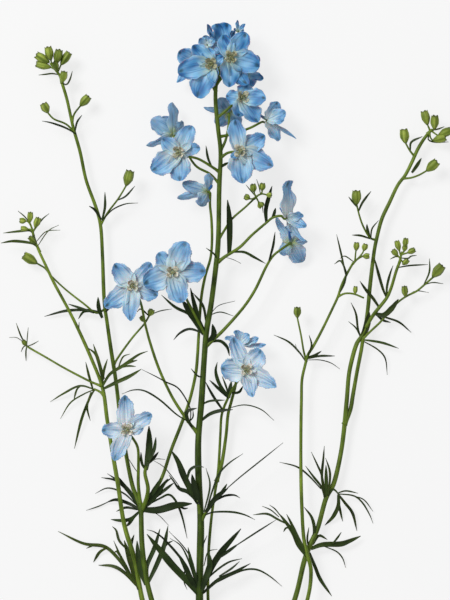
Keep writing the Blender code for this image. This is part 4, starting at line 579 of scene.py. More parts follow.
# %% Spray centre
plan("spray_centre", stalks=[
    (0.8, 0.6, 254, 199, 21, 258, 195.5, 21.5, 262, 194, 22, 266, 194.8, 22.5),
    (0.55, 0.55, 256, 197, 21.3, 254.5, 194, 22.5, 254, 192, 23),
    (0.55, 0.55, 261, 194.5, 22, 262, 192, 23, 262, 190.5, 23.5),
    (0.55, 0.55, 256, 197.5, 21.3, 258, 201, 22, 258.5, 203, 22),
    (0.55, 0.55, 256, 197.5, 21.3, 252, 199, 24, 249.5, 199, 25),
], blades=[
    (1.2, 21.5, 24, 256, 197, 250, 190, 246, 185), (1.2, 22, 26, 260.5, 194.5, 259, 187, 256.5, 179.5),
    (1.2, 22, 18, 257.5, 200, 262, 206, 263, 213),
], buds=[
    (4.9, 254, 192.5, 23, 252.9, 184.2, 25), (4.7, 262, 191, 23.5, 262.6, 183.3, 25),
    (4.7, 250, 199, 25, 244.5, 196.2, 26), (5.5, 258.5, 202.5, 22, 262.4, 207.4, 22),
    (4, 265.8, 194.8, 22.5, 271.8, 195.6, 23.5),
])

# %% Spray right top
plan("spray_right_top", stalks=[
    (1.3, 1, 428, 134, 9, 430.5, 131, 10, 432.5, 129.5, 11),
    (0.7, 0.6, 430.5, 131, 10, 429, 127.5, 11, 427.8, 125, 12),
    (0.7, 0.6, 432, 130, 10.5, 434, 129.5, 12, 434.5, 129, 13),
    (0.6, 0.6, 431.5, 130.5, 10, 436, 134, 11, 438.5, 135.4, 11),
    (0.6, 0.6, 430, 131.5, 10, 430.5, 137, 10.5, 433, 140.5, 10.5),
], blades=[
    (1.8, 10, 8, 430, 133, 428.5, 139.5, 436, 142, 449, 141.7),
    (1.7, 12, 13, 432, 130, 438, 129, 444.5, 126.5),
], buds=[
    (6.4, 427.8, 125, 12, 423.8, 110.3, 13), (6.2, 434.5, 129.5, 13, 435, 115.3, 16),
    (6.4, 438.5, 135.4, 11, 452, 129.8, 11), (6.4, 433, 140.5, 10.5, 446.5, 137, 12),
])

# %% Spray right left
plan("spray_right_left", stalks=[
    (0.85, 0.7, 352.5, 264, 16, 357.5, 259, 16, 363, 256, 16),
    (0.6, 0.6, 355, 261.5, 16, 355.5, 254, 17, 356, 250, 18),
    (0.6, 0.6, 358, 258.8, 16, 362.5, 253, 17, 363.5, 250.5, 18),
], blades=[
    (1.4, 16, 14, 354, 262, 345, 256, 340, 258.5),
], buds=[
    (4.4, 356, 251, 18, 356.6, 242.2, 19), (4.4, 363.5, 251, 18, 365.7, 243.8, 19),
    (4.4, 362.5, 256.2, 16, 369.6, 256, 16),
])

# %% Spray right middle
plan("spray_right_middle", stalks=[
    (0.9, 0.75, 399.5, 262.5, 14, 400.8, 257, 15, 402.2, 251.5, 15),
    (0.6, 0.6, 401, 256.2, 15, 400, 253, 16, 399.4, 250.8, 17),
    (0.6, 0.6, 401.9, 253.5, 15, 403, 252.4, 15.6, 404.1, 251.2, 16),
    (0.6, 0.6, 401.5, 254.6, 15, 405, 253.6, 16, 407.4, 252.9, 16),
    (0.6, 0.6, 400.6, 258.5, 15, 399, 257, 16, 397.7, 255.6, 16),
    (0.6, 0.6, 400.3, 259.3, 14.6, 402.8, 262, 13.4, 403, 264.6, 13),
], blades=[
    (1.7, 15, 17, 401, 258, 408, 258.5, 411, 256.2, 416.6, 255.4),
    (1.5, 15, 14, 400.5, 257.5, 395.8, 256.6, 390, 259.2),
], buds=[
    (4.4, 399.4, 251, 17, 396.6, 240.4, 18), (4, 404, 251.5, 16, 405.4, 244.9, 17),
    (4.4, 404.7, 247, 18, 406, 238.2, 20), (4.4, 407.2, 253, 16, 415.3, 249.4, 17),
    (4.4, 397.8, 255.8, 16, 392.4, 249.8, 17), (4.2, 402.9, 264.8, 13, 408.4, 259.4, 14),
])

# %% [markdown]
# ## Greens
#
# The thick stems are dark olive, and the thinner and younger a stem is, the more yellow shows in its green.
# The leaves are the darkest green on the plant and the buds the lightest.

# %% The colours of stem, leaf and bud
OLD_STEM, THIN_STEM, YOUNG_STEM = (colour(c) for c in ("#4A6018", "#7B9230", "#9DB246"))
LEAF_DARK, LEAF_LIGHT, MIDRIB = (colour(c) for c in ("#17240B", "#3B5120", "#66793E"))
# The third bud colour is a darker tone that some buds get at random. It is also painted shade along the
# grooves of the seams.
BUD_FOOT, BUD_BODY, BUD_DARK_AND_SEAM_SHADE, BUD_TIP = (colour(c) for c in ("#61752A", "#B9C75E", "#7F9334", "#2C3511"))
print("an old stem in linear is", OLD_STEM.round(3))

# %% [markdown]
# ## Stalks
#
# A stalk is a tube whose radius shrinks from foot to tip. Where a side stalk leaves its stem it flares, as
# the two skins grow together, and further on its radius swells and narrows by 3%, because nothing that
# grows is quite even. A round tube needs few corners, because smooth shading hides them.

# %% A stalk from its plan
THICK_MM, THIN_MM, FLARE, FLARE_MM = 2.6, 1.3, 0.5, 2.5
RING_MM, FINE_RING_MM, STOUT_MM = 2.4, 1.6, 2.2


def flower_up(face):
    """Up on a flower's face: +Y with the part that points along the face taken away."""
    return unit(np.array((0.0, 1.0, 0.0)) - face * face[1])


def stalk(radius_foot, radius_tip, points, flowers, young):
    """radius = foot + (tip - foot) * share, half as much again at the foot, fading over 2.5 mm. The tint goes
    from old to thin green as the radius goes from 2.6 to 1.3 mm, and then some way to young green. A stalk
    with a flower ends straight behind its heart, 2 mm back and 0.9 mm down."""
    if isinstance(points[-1], str):
        heart, face = flowers[points[-1]]
        back = heart - face * 2.0 * MM - flower_up(face) * 0.9 * MM
        line = np.vstack([place(points[:-1]), back - face * 2.2 * MM, back + face * 0.9 * MM])
    else:
        line = place(points)
    line = smooth(line)
    step = (RING_MM if radius_foot > THIN_MM else FINE_RING_MM) * MM
    count = max(8, int(length_along(line)[-1] / step))
    share = np.linspace(0, 1, count)
    line = at_shares(line, share)
    run = share * length_along(line)[-1]
    radius = radius_foot + (radius_tip - radius_foot) * share
    tint = fade(OLD_STEM, THIN_STEM, (THICK_MM - radius) / (THICK_MM - THIN_MM))
    tint = fade(tint, YOUNG_STEM, np.full(count, young))
    radius = MM * radius * (1 + FLARE * np.exp(-run / (FLARE_MM * MM)) + 0.03 * np.sin(run / (9 * MM)))
    sides = 16 if radius_foot > STOUT_MM else 12 if radius_foot > THIN_MM else 8
    return sweep(rest_on_table(line, radius), radius, tint, sides)


print("stalks flare to", 1 + FLARE, "times their radius at the foot")

# %% [markdown]
# ## Leaf lobes
#
# The leaves are cut into lobes so narrow that each is nearly a blade of grass. A lobe is a thin lens folded
# a little along its midrib, like an open book, and its line rises and falls slightly. Its width grows past
# the middle and then runs out to a fine tip.

# %% A leaf lobe from its plan
WAVE_MM, WAVE_LENGTH_MM = 0.25, 4.5
LOBE_AT, LOBE_WIDE = (0.0, 0.12, 0.3, 0.6, 0.85, 1.0), (0.6, 0.75, 0.93, 1.0, 0.62, 0.12)


def lobe(width_px, z_root, z_tip, points, tilt, shade, young):
    """Across the lobe x = cos a, and the height is 0.24 sin a (1 - x^2 / 2) + 0.26 |x| half width, less a
    groove at x = 0. The midrib's tint fades out by exp(-(x / 0.16)^2)."""
    flat = np.reshape(points, (-1, 2))
    line = smooth(place(np.column_stack([flat, np.linspace(z_root, z_tip, len(flat))])))
    long = length_along(line)[-1] / MM
    share = np.linspace(0, 1, max(9, int(long / 1.5)))
    line = at_shares(line, share)
    half = np.maximum(0.5 * width_px * MM_PER_PIXEL * np.interp(share, LOBE_AT, LOBE_WIDE), 0.2)
    line[:, 2] += WAVE_MM * MM * np.sin(share * long / WAVE_LENGTH_MM + 9 * shade)
    line[:, 2] = np.maximum(line[:, 2], (0.35 + half * abs(tilt)) * MM)
    _, across, up = frame_along(line, tilt)
    a = once_round(14)
    x = np.cos(a)
    groove = 0.16 * np.exp(-((x / 0.22) ** 2)) * np.minimum(half, 1.2)[:, None]
    high = 0.24 * np.sin(a) * (1 - x**2 / 2) + 0.26 * np.abs(x) * half[:, None] - groove
    rings = line[:, None] + MM * half[:, None, None] * x[:, None] * across[:, None]
    rings = rings + MM * high[..., None] * up[:, None]
    tint = fade(LEAF_DARK, LEAF_LIGHT, np.array(0.15 + 0.75 * shade))
    tint = fade(tint, YOUNG_STEM, np.array(0.35 * young))
    tint = fade(tint, MIDRIB, 0.4 * np.exp(-((x / 0.16) ** 2)) * np.clip(1.1 - share, 0, 1)[:, None])
    return close_rings(rings, (share * long)[:, None], x, tint, shade)


widest = max(entry[0] for _, blades, _ in PLAN.values() for entry in blades)
print("the widest lobe is", round(widest * MM_PER_PIXEL, 1), "mm")

# %% [markdown]
# ## Buds
#
# A closed bud is five sepals folded over each other. It is a small urn: narrow where the stalk enters,
# quickly widening, with nearly straight sides, and a blunt end where the five sepal tips stand out as small
# dark points round a shallow dip.

# %% A bud from its plan
LOWEST_MM = 0.15


def bud(width_mm, ends, shade):
    """radius = 0.56 width ((s + 0.03) / 0.5)^0.62 up to the full width and a quarter less again at the end;
    two last rings close the mouth. Five points stand out by |sin 2.5a|^3, with five seams between them."""
    s = np.concatenate([np.linspace(0.0, 1.0, 20), [0.97, 0.93]])
    mouth = np.concatenate([np.ones(20), [0.6, 0.2]])
    foot, tip = place(ends)
    long = np.linalg.norm(tip - foot)
    line = foot + 0.93 * s[:, None] * (tip - foot)
    way, across, up = frame_along(foot + np.linspace(0, 1, len(s))[:, None] * (tip - foot))
    swell = np.clip((s + 0.03) / 0.5, 0, 1) ** 0.62 * (1 - 0.26 * np.clip((s - 0.68) / 0.32, 0, 1) ** 1.6)
    a = once_round(30)
    five = 2.5 * a + 3 * shade
    tooth = np.abs(np.sin(five)) ** 3
    at_end = np.clip((s[:, None] - 0.8) / 0.2, 0, 1) ** 2
    seam = 1 - 0.1 * np.abs(np.cos(five)) ** 6 * np.sin(np.pi * s[:, None]) ** 0.5
    wide = 0.56 * width_mm * MM * (swell * mouth)[:, None] * seam
    wide = wide * (1 + 0.12 * tooth * at_end * mouth[:, None])
    rings = line[:, None] + wide[..., None] * round_it(a, across, up)
    rings = rings + (0.07 * long * tooth * at_end * (mouth[:, None] > 0.9))[..., None] * way[:, None]
    rings[..., 2] = np.maximum(rings[..., 2], LOWEST_MM * MM)
    tint = fade(BUD_BODY, BUD_FOOT, 1.2 - 7 * s[:, None] + 0 * a)
    # Painted shade: the seams are sunk as grooves, and the same places are painted darker. The random part
    # darkens some whole buds.
    seams = 0.8 * np.abs(np.cos(five)) ** 4
    tint = fade(tint, BUD_DARK_AND_SEAM_SHADE, seams + 0.35 * (shade - 0.3) + 0 * s[:, None])
    tint = fade(tint, BUD_TIP, at_end**2 * (0.25 + 0.9 * tooth))
    return close_rings(rings, s[:, None] * long / MM, np.abs(a / np.pi - 1), tint, shade)


widths = [entry[0] for _, _, buds in PLAN.values() for entry in buds]
print("buds are", min(widths), "to", max(widths), "mm wide")

# %% [markdown]
# ## Sepals
#
# What looks like petals are five sepals. Each starts as a narrow claw behind the heart, widens quickly to a
# broad oval and ends in a blunt point. The sides turn up, the edge is ruffled and a crease runs down the
# middle. The surface is s along and x across, and the sepal's own frame is out (from the heart to its tip),
# side, and normal (towards the way the flower faces).

# %% The surface of one sepal
SEPAL_CELLS, PETAL_CELLS = 24, 10


def sepal_surface(heart, face, tip, width_mm, shade, pale, point, curl, cells):
    """Half width = width/2 f(s), f = (s + 0.06)^0.5 (1 - s)^(0.42 + 0.35 point) over its maximum, with a wavy
    edge; a point below 0 widens the foot and squares the end. Height = cup x^2 + pleats cos(k x) + ruffle
    |x|^3 sin(...) - crease exp(-(x / 0.12)^2). The middle line sags by a tenth and bends at the tip."""
    out = tip - heart
    length = np.linalg.norm(out)
    out = out / length
    normal = unit(face - out * face.dot(out))
    normal = unit(normal + np.array((0.0, 0.0, np.sign(face[2] + 1e-9))) * max(0.0, 0.7 - abs(normal[2])))
    normal = unit(normal - out * normal.dot(out))
    side = np.cross(normal, out)
    s = np.linspace(0, 1, 2 * cells)
    phase = 40 * shade
    start = heart + out * 0.6 * MM - face * 1.0 * MM
    bend = 0.45 * start + 0.55 * tip - normal * (0.07 + 0.08 * np.sin(phase)) * length
    b = s[:, None]
    line = (1 - b) ** 2 * start + 2 * b * (1 - b) * bend + b**2 * tip
    hook = np.clip((b - 0.7) / 0.3, 0, 1) ** 2
    line = line + (side * 0.05 * np.sin(2 * phase) - normal * curl * np.cos(3 * phase)) * length * hook
    across = np.concatenate([np.linspace(1, -1, cells + 1)[:-1], np.linspace(-1, 1, cells + 1)[:-1]])
    front = np.concatenate([np.ones(cells), -np.ones(cells)])
    front[[0, cells]] = 0.0
    x, bow = across[None, :], np.abs(across)[None, :]
    square = max(0.0, -point)
    f = (s + 0.06) ** (0.5 - 0.3 * square) * (1 - s) ** (0.42 + 0.35 * point) * (1 - 0.65 * square * s)
    half = 0.5 * width_mm * MM * (f / f.max())[:, None]
    hand = np.sign(x)
    wave = 0.06 * np.sin(9 * b + phase + 1.9 * hand) + 0.045 * np.sin(23 * b + 2 * phase + 2.6 * hand)
    notch = np.sin(31 * b + 3 * phase + hand) * np.sin(47 * b + phase) * np.clip((b - 0.5) / 0.4, 0, 1)
    spread = half * x * (1 + (wave + (0.04 + 0.12 * pale) * notch) * bow**2)
    slow = np.sin(np.pi * np.minimum(b * 1.15, 1.0))
    high = half * (0.2 * x**2 + 0.22 * bow**3 * np.sin(11 * b + 2.2 * hand + phase))
    pleats = 0.24 * np.cos(7.5 * x + phase + 1.5 * b) + 0.07 * np.cos(19 * x + 2 * phase - 3 * b)
    crease = 0.3 * np.exp(-((x / 0.12) ** 2)) * np.sin(np.pi * b)
    high = high + MM * (slow * pleats - crease + 0.16 * front * (1 - x**4))
    rings = line[:, None] + spread[..., None] * side + high[..., None] * normal
    rings[..., 2] = np.maximum(rings[..., 2], LOWEST_MM * MM)
    return rings, b, x, np.broadcast_to(front, rings.shape[:2])


print("a sepal has", (2 * SEPAL_CELLS) ** 2 + 2, "points, a small petal", (2 * PETAL_CELLS) ** 2 + 2)

# %% [markdown]
# ## How a sepal is coloured
#
# Pale green or white at the claw, light blue beyond it that deepens outwards in soft clouds, a thin pale
# rim, and near the tip a dark blue-green spot, which is the thick end of the midrib. On the paler flowers
# the white reaches past the middle. The back is greyer than the face, with a yellow-green foot where the
# stalk enters.

# %% The colours and masks of a sepal
CLAW_GREEN, CLAW_WHITE, SPOT, SEPAL_BACK = (colour(c) for c in ("#A8B391", "#E2E5E2", "#083E45", "#86A3B8"))
BACK_FOOT, SPOT_AT = colour("#93A25A"), 0.89
SKY_LIGHT, SKY_MID, SKY_DEEP, SKY_RIM = (colour(c) for c in ("#90C1DF", "#4092C6", "#085896", "#B6D4E6"))


def sepal_tint(s, x, front, shade, pale):
    """Masks: cloud = slow waves; outwards = 1.15 s + cloud - 0.55; deep = (s - 0.15)(1.5 cloud^2 + midrib);
    claw = 0.95 (1 - (2.3 - 1.1 pale) s)^(1.5 - 0.7 pale), frayed; rim = |x|^12; spot = 1 - 0.6 ((11 (s -
    0.89))^2 + (3.6 x)^2); back where front < 0, with its foot by 1.15 - 4.5 s."""
    phase, bow = 40 * shade, np.abs(x)
    cloud = 0.5 + 0.3 * np.sin(5 * s + 2.6 * x + phase) + 0.2 * np.sin(11 * s - 5.3 * x + 2 * phase)
    tint = fade(SKY_LIGHT, SKY_MID, 1.15 * s + cloud - 0.55 + 0.3 * (shade - 0.5))
    midrib = 0.3 * np.clip(1 - 2.2 * bow, 0, 1)
    tint = fade(tint, SKY_DEEP, (1 - 0.5 * pale) * np.clip(s - 0.15, 0, 1) * (1.5 * cloud**2 + midrib))
    tint = fade(tint, SKY_RIM, (0.2 + 0.3 * cloud) * pale * (1.2 - 0.5 * s))
    frayed = 0.1 * np.sin(13 * x + phase) + 0.06 * np.sin(29 * x + 2 * phase)
    claw = 0.95 * np.clip(1 - s * (2.3 - 1.1 * pale) + frayed * (0.4 + s), 0, 1) ** (1.5 - 0.7 * pale)
    tint = fade(tint, fade(CLAW_GREEN, CLAW_WHITE, np.array(pale)), claw)
    tint = fade(tint, SKY_RIM, (0.35 + 0.3 * pale) * bow**12 + 0 * s)
    spot = np.clip(1 - 0.6 * ((11 * (s - SPOT_AT)) ** 2 + (3.6 * x) ** 2), 0, 1)
    tint = fade(tint, SPOT, spot * (0.55 + 0.4 * shade))
    back = front < -0.5
    return fade(fade(tint, SEPAL_BACK, 0.5 * back), BACK_FOOT, back * 0.85 * np.clip(1.15 - 4.5 * s, 0, 1))


def sepal(heart, face, tip, width_mm, shade, pale, point=0.3):
    """The surface and its tint, closed to a thin shell."""
    rings, s, x, front = sepal_surface(heart, face, tip, width_mm, shade, pale, point, 0.08, SEPAL_CELLS)
    return close_rings(rings, s, x, sepal_tint(s, x, front, shade, pale), shade)


print("the spot sits", SPOT_AT, "of the way along a sepal")

# %% [markdown]
# ## Where the flowers are
#
# A flower is its heart (px, px, mm up), the way it faces, and for each sepal the tip (px, px, mm up), the
# width in mm and sometimes how pointed it is. The last value says whether its pale centre can be seen. Most
# look straight up at the camera, some are seen from the side, and three face down. The low flowers are the
# oldest, and the paler they are, the further the white of the claw reaches.

# %% The flowers' plan
FLOWERS = {
    "01": ((211, 65, 35), (-0.1, 0, 1), [(177.5, 72, 36, 18), (196, 98, 33, 19.5),
        (214.5, 84, 34, 10, 0.7), (193, 46, 34, 14, 0.6), (206, 49, 32, 12), (223, 57, 33, 10, 0.7)], True),
    "02": ((230.5, 58.5, 32), (0.15, 0, 1), [(260, 66, 32, 19), (247, 33.5, 30, 16),
        (230, 88, 30, 17, 0.7), (246, 86, 27, 14), (222, 36.5, 28, 13.5)], True),
    "03": ((207, 45, 25), (-0.2, 0.2, 1), [(198.5, 40, 28, 7), (206, 35.5, 28, 8), (214.5, 40, 29, 7),
        (219, 53, 26, 13), (200, 52, 27, 8)], False),
    "04": ((221, 46, 17), (0, 0.8, 0.4), [(209, 33, 20, 14), (217, 24, 22, 16, -0.3),
        (227, 23, 21, 16, -0.3), (236, 32, 20, 14), (206.5, 24.5, 19, 7), (215, 58, 23, 14),
        (226, 56, 21, 9)], False),
    "05": ((239, 31, 24), (0.4, 0.5, 0.7), [(237, 20.5, 26, 4, 0.6), (245, 24, 25, 3.5, 0.6),
        (244, 33, 24, 6)], False),
    "06": ((242.5, 98.5, 28), (0.35, 0.25, 0.9), [(266, 98, 29, 15), (258, 123, 28, 17, 0.6),
        (238, 117, 26, 14), (225.5, 96, 25, 13, 0.6), (247, 83, 22, 13)], True),
    "07": ((240, 152, 32), (-0.1, 0, 1), [(234.5, 120, 32, 14.5), (265, 136, 31, 16, 0.6),
        (273, 167, 31, 18, 0.8), (242, 184, 31, 20, 0.7), (231, 158, 34, 6)], True),
    "08": ((268, 120, 20), (0.6, 0.3, 0.7), [(278, 102, 22, 13), (286, 113, 25, 12), (284, 122, 26, 9),
        (279, 141, 20, 14), (296.5, 138, 13, 4, 0.4)], False),
    "09": ((228, 112, 8), (-0.2, 0.2, -0.9), [(203, 107.5, 3.6, 5, 0.8), (219, 97, 3, 12),
        (242, 103, 4, 12), (240, 126, 3, 13), (217, 126, 3, 12)], False),
    "10": ((178.5, 153, 30), (-0.1, -0.1, 1), [(191, 125.5, 30, 15), (200, 147, 29, 11),
        (162, 139, 30, 13, 0.6), (152, 172, 29, 18), (180, 181.5, 29, 18)], True),
    "11": ((173, 134, 15), (-0.5, 0.5, -0.45), [(172, 102, 14, 12.5), (151.5, 119, 17, 15),
        (146.5, 147, 13, 9, 0.7), (184, 122, 9, 11), (163, 116, 13, 15)], False),
    "12": ((194, 61, 17), (-0.5, 0.1, 0.8), [(178, 52, 20, 14), (177, 83, 15, 9, 0.8),
        (198, 44, 15, 12)], False),
    "13": ((207, 191, 20), (-0.5, 0.1, -0.6), [(182, 184, 21, 10), (208.5, 174, 25, 10),
        (177.5, 198.5, 17, 7), (200, 206.5, 19, 14)], False),
    "14": ((288, 218, 22), (0.7, -0.05, 0.6), [(286, 180.5, 23, 17, -0.9), (303, 214, 27, 9),
        (306, 227, 25, 10), (304, 242, 20, 7, 0.7), (295, 233, 15, 9)], False),
    "15": ((291, 243, 12), (0.2, -0.15, -0.95), [(275.5, 218, 9, 6), (288, 225, 7, 16),
        (308, 241, 6, 6, 0.8), (302, 263, 7, 15), (280, 254, 8, 11)], False),
    "16": ((172.5, 272.5, 33), (0, 0, 1), [(186, 241.5, 33, 19), (206, 271, 32, 18), (181.5, 303, 33, 18),
        (143.5, 283.5, 32, 20), (158, 253, 33, 14)], True),
    "17": ((133, 286.5, 28), (-0.05, 0, 1), [(113.5, 264.5, 28, 16, 0.6), (104.5, 307, 28, 16, 0.6),
        (129.5, 321, 29, 14, 0.8), (158, 296, 27, 14), (152, 263.5, 26, 13)], True),
    "18": ((246.5, 370, 33), (0, 0, 1), [(232, 337.5, 32, 13), (220.5, 369, 33, 19),
        (252.5, 397, 34, 12.5, 0.9), (277, 386, 33, 14, 0.9), (262, 350, 32, 17)], True),
    "19": ((127, 429.5, 33), (0.1, 0, 1), [(125, 394.5, 33, 14.5, 0.7), (152, 413, 34, 12),
        (102, 430, 33, 13), (114, 460, 33, 14, 0.6), (144, 429, 31, 9, 0.8)], True),
    "20": ((241, 343, 18), (0.2, 0.6, 0.6), [(225, 337, 19, 8), (236, 330, 20, 10), (249, 334, 20, 9),
        (266, 346, 18, 6), (229, 346, 17, 8), (259, 339, 19, 8)], False),
    "21": ((247, 73, 17), (0.5, -0.2, 0.7), [(263.5, 79, 19, 7), (251, 88, 16, 12), (259, 56, 16, 10),
        (237, 84, 13, 10)], False),
}
PALE = {"03": 0.6, "06": 0.2, "07": 0.5, "08": 0.7, "10": 0.6, "11": 0.3, "12": 0.3, "13": 0.5, "14": 0.75,
        "15": 0.6, "16": 0.65, "17": 0.75, "18": 1.0, "19": 1.0, "20": 0.9}
HEARTS = {key: (place(heart)[0], unit(face)) for key, (heart, face, _, _) in FLOWERS.items()}
print(len(FLOWERS), "flowers,", sum(len(f[2]) for f in FLOWERS.values()), "sepals")

# %% [markdown]
# ## Petals and anthers in the heart
#
# Inside the sepals stand four small true petals, cream white, and a tuft of olive anthers. Growers call
# this the bee. The small petals are the sepal surface again, only smaller and more ruffled, and an anther
# is a little egg on a thread.

# %% The heart of a flower
PETAL_FOOT, PETAL_GREEN, PETAL_WHITE = (colour(c) for c in ("#6C7A42", "#93966A", "#E6E3D6"))
PETAL_LILAC, THREAD = colour("#CFC9E2"), colour("#B0B98A")
OLIVE_DARK, OLIVE_LIGHT = colour("#4A5C2A"), colour("#9D9A55")
PETAL_TURNS, ANTHERS = (52, 128, 215, 325), 14


def little_petal(base, out, face, reach, rise, width, shade, pale):
    """The sepal surface on a small scale: from the base outwards by reach and upwards by rise, in mm."""
    tip = base + out * reach * MM + face * rise * MM
    turned = unit(face - 0.4 * out)
    rings, s, x, _ = sepal_surface(base, turned, tip, width, shade, 1.0, 0.0, 0.25, PETAL_CELLS)
    rim = fade(fade(PETAL_GREEN, PETAL_WHITE, np.array(0.3 + 0.7 * pale)), PETAL_LILAC, np.array(0.6 * pale))
    white = fade(PETAL_GREEN, PETAL_WHITE, np.array(0.25 + 0.75 * pale))
    tint = fade(fade(PETAL_FOOT, white, 3.0 * s), rim, 3.0 * s - 2.0)
    return close_rings(rings, s, x, tint, shade)


def anther(root, way, length, shade):
    """A thread with an egg at its end: radius 0.14 mm, swelling to 0.56 mm over the last third."""
    s = np.linspace(0, 1, 12)
    swell = np.exp(-(((s - 0.84) / 0.11) ** 2))
    tint = fade(THREAD, fade(OLIVE_DARK, OLIVE_LIGHT, np.array(shade)), 1.6 * swell)
    return sweep(root + s[:, None] * way * length * MM, MM * (0.14 + 0.42 * swell), tint, 8, shade)


def heart_shapes(heart, face, pale, rng):
    """Four petals at 52, 128, 215 and 325 degrees, and fourteen anthers leaning out of the middle."""
    up = flower_up(face)
    right = np.cross(up, face)
    shapes = []
    for turn in PETAL_TURNS:
        reach, rise, width = (5.4, 3.0, 4.6) if turn < 180 else (4.6, 2.2, 4.4)
        a = np.radians(turn + rng.uniform(-8, 8))
        out = np.cos(a) * right + np.sin(a) * up
        shapes.append(little_petal(heart + out * 0.5 * MM, out, face, reach, rise, width, rng.random(), pale))
    for k in range(ANTHERS):
        a = 2 * np.pi * k / ANTHERS + rng.uniform(-0.2, 0.2)
        lean = rng.uniform(0.15, 0.75)
        way = unit(face + lean * (np.cos(a) * right + np.sin(a) * up))
        shapes.append(anther(heart - face * 0.4 * MM, way, rng.uniform(2.6, 4.6), rng.random()))
    return shapes


print("a heart has", len(PETAL_TURNS), "petals and", ANTHERS, "anthers")

# %% [markdown]
# ## The spur
#
# A delphinium is named for its spur, a hollow horn on the back of the uppermost sepal that holds the
# nectar. It leaves the back of the heart, leans up and ends in a small rounded bulb.

# %% The spur of a flower
SPUR_UP_MM, SPUR_BACK_MM = 6.0, 7.0


def spur(heart, face, size):
    """A tube of radius 1.7 mm that narrows to 0.7 mm; its end is 7 mm further back and 6 mm further up."""
    up = flower_up(face)
    foot = heart + up * 1.0 * MM - face * 0.9 * MM
    end = heart + up * (2.0 + SPUR_UP_MM * size) * MM - face * (1.6 + SPUR_BACK_MM * size) * MM
    middle = 0.5 * (foot + end) - face * 0.9 * MM
    s = np.linspace(0, 1, 18)
    line = at_shares(smooth(np.stack([foot, middle, end])), s)
    radius = MM * (1.7 - 1.0 * s + 0.25 * np.exp(-(((s - 0.9) / 0.08) ** 2)))
    return sweep(rest_on_table(line, radius), radius, fade(BACK_FOOT, SKY_DEEP, 0.2 + 1.6 * s), 14)


print("spurs are about", round(np.hypot(SPUR_UP_MM, SPUR_BACK_MM)), "mm long")

# %% [markdown]
# ## A helper for nodes
#
# The tint of every point is already worked out, so a material only has to add what is finer than the mesh:
# the fibres, veins and blotches, and the gloss. One small function adds a node with its settings and its
# links.


# %% One node at a time
def add(tree, kind, inputs=None, stops=None, **settings):
    """A node of that kind: settings are its own values, inputs are numbers, colours or another node's output,
    and stops are a colour ramp's places and hex values."""
    node = tree.nodes.new(kind)
    for key, value in settings.items():
        setattr(node, key, value)
    for key, value in (inputs or {}).items():
        if isinstance(value, bpy.types.NodeSocket):
            tree.links.new(value, node.inputs[key])
        else:
            node.inputs[key].default_value = value
    for k, (position, hex_value) in enumerate(stops or []):
        element = node.color_ramp.elements[k] if k < 2 else node.color_ramp.elements.new(position)
        element.position, element.color = position, (*colour(hex_value), 1.0)
    return node


def fresh(name, roughness, **fixed):
    """A new material with a Principled shader; a value that is the same all over sits on its own socket."""
    made = bpy.data.materials.new(name)
    made.use_nodes = True
    shader = made.node_tree.nodes["Principled BSDF"]
    shader.inputs["Roughness"].default_value = roughness
    for key, value in fixed.items():
        shader.inputs[key.replace("_", " ").title().replace("Ior", "IOR")].default_value = value
    return made, made.node_tree, shader


def skin(tree, shader, base, stains=(), height=None, depth_mm=0.0):
    """The base colour times the ramp of each stain, a pattern with its stops. The height, times the depth,
    tilts the light as a relief of that depth would."""
    for pattern, stops in stains:
        ramp = add(tree, "ShaderNodeValToRGB", {"Fac": pattern.outputs["Fac"]}, stops)
        base = add(tree, "ShaderNodeMix", {0: 1.0, 6: base, 7: ramp.outputs[0]}, data_type="RGBA",
                   blend_type="MULTIPLY").outputs[2]
    tree.links.new(base, shader.inputs["Base Color"])
    if height is not None:
        relief = add(tree, "ShaderNodeBump", {"Strength": 1.0, "Distance": depth_mm * MM, "Height": height})
        tree.links.new(relief.outputs["Normal"], shader.inputs["Normal"])
    print("the material has", len(tree.nodes), "nodes")


print("shader sockets:", len(fresh("Trial", 0.5)[2].inputs))
bpy.data.materials.remove(bpy.data.materials["Trial"])

# %% [markdown]
# ## Living green tissue
#
# A green stem or leaf is wet cells under a waxy skin. That gives a satin gloss rather than a shine, a
# roughness near 0.45, and a colour that is never even: fibres run along it and cell patches make it
# blotchy. The fibres are about 0.3 mm apart on the real plant, which wouldn't show on a stem. Round a 5 mm
# stem 7 waves of noise lie in 8 mm, so 1.1 mm apart, and across a 4 mm lobe 14 of them, 0.3 mm apart. Each
# fibre is 17 mm long, and the blotches are 14 mm across.

# %% Cuticle over green tissue
FIBRES_ACROSS, FIBRE_LENGTH_MM, BLOTCH_MM, FIBRE_DEPTH_MM = 7.0, 17.0, 14.0, 0.12
GREEN, tree, shader = fresh("Delphinium stem and leaf, waxy cuticle", 0.45, subsurface_weight=0.06,
                            subsurface_scale=0.0008, specular_ior_level=0.18)
tint = add(tree, "ShaderNodeAttribute", attribute_name="tint").outputs["Vector"]
grain = add(tree, "ShaderNodeAttribute", attribute_name="grain").outputs["Vector"]
on_plant = add(tree, "ShaderNodeTexCoord").outputs["Object"]
stretched = add(tree, "ShaderNodeMapping",
                {"Vector": grain, "Scale": (1 / FIBRE_LENGTH_MM, FIBRES_ACROSS, 1.0)})
fibres = add(tree, "ShaderNodeTexNoise", {"Vector": stretched.outputs[0], "Scale": 1.0, "Detail": 2.0})
blotches = add(tree, "ShaderNodeTexNoise", {"Vector": on_plant, "Scale": 1 / (BLOTCH_MM * MM), "Detail": 3.0})
dark = [(fibres, [(0.32, "#A9B39A"), (0.7, "#FFFFFF")]), (blotches, [(0.3, "#A0AA96"), (0.7, "#FFFFFF")])]
skin(tree, shader, tint, dark, fibres.outputs["Fac"], FIBRE_DEPTH_MM)

# %% [markdown]
# ## Sepal tissue
#
# A sepal is a few layers of cells full of blue sap, with air between them that scatters the light, so the
# blue is soft and the surface slightly velvety: a rough gloss, some light that spreads inside, and a sheen.
# Veins fan out from the claw to the edge. They are about 1 mm apart on the real sepal, and here a 17 mm
# wide sepal carries 13 waves of noise, so they are 1.3 mm apart.

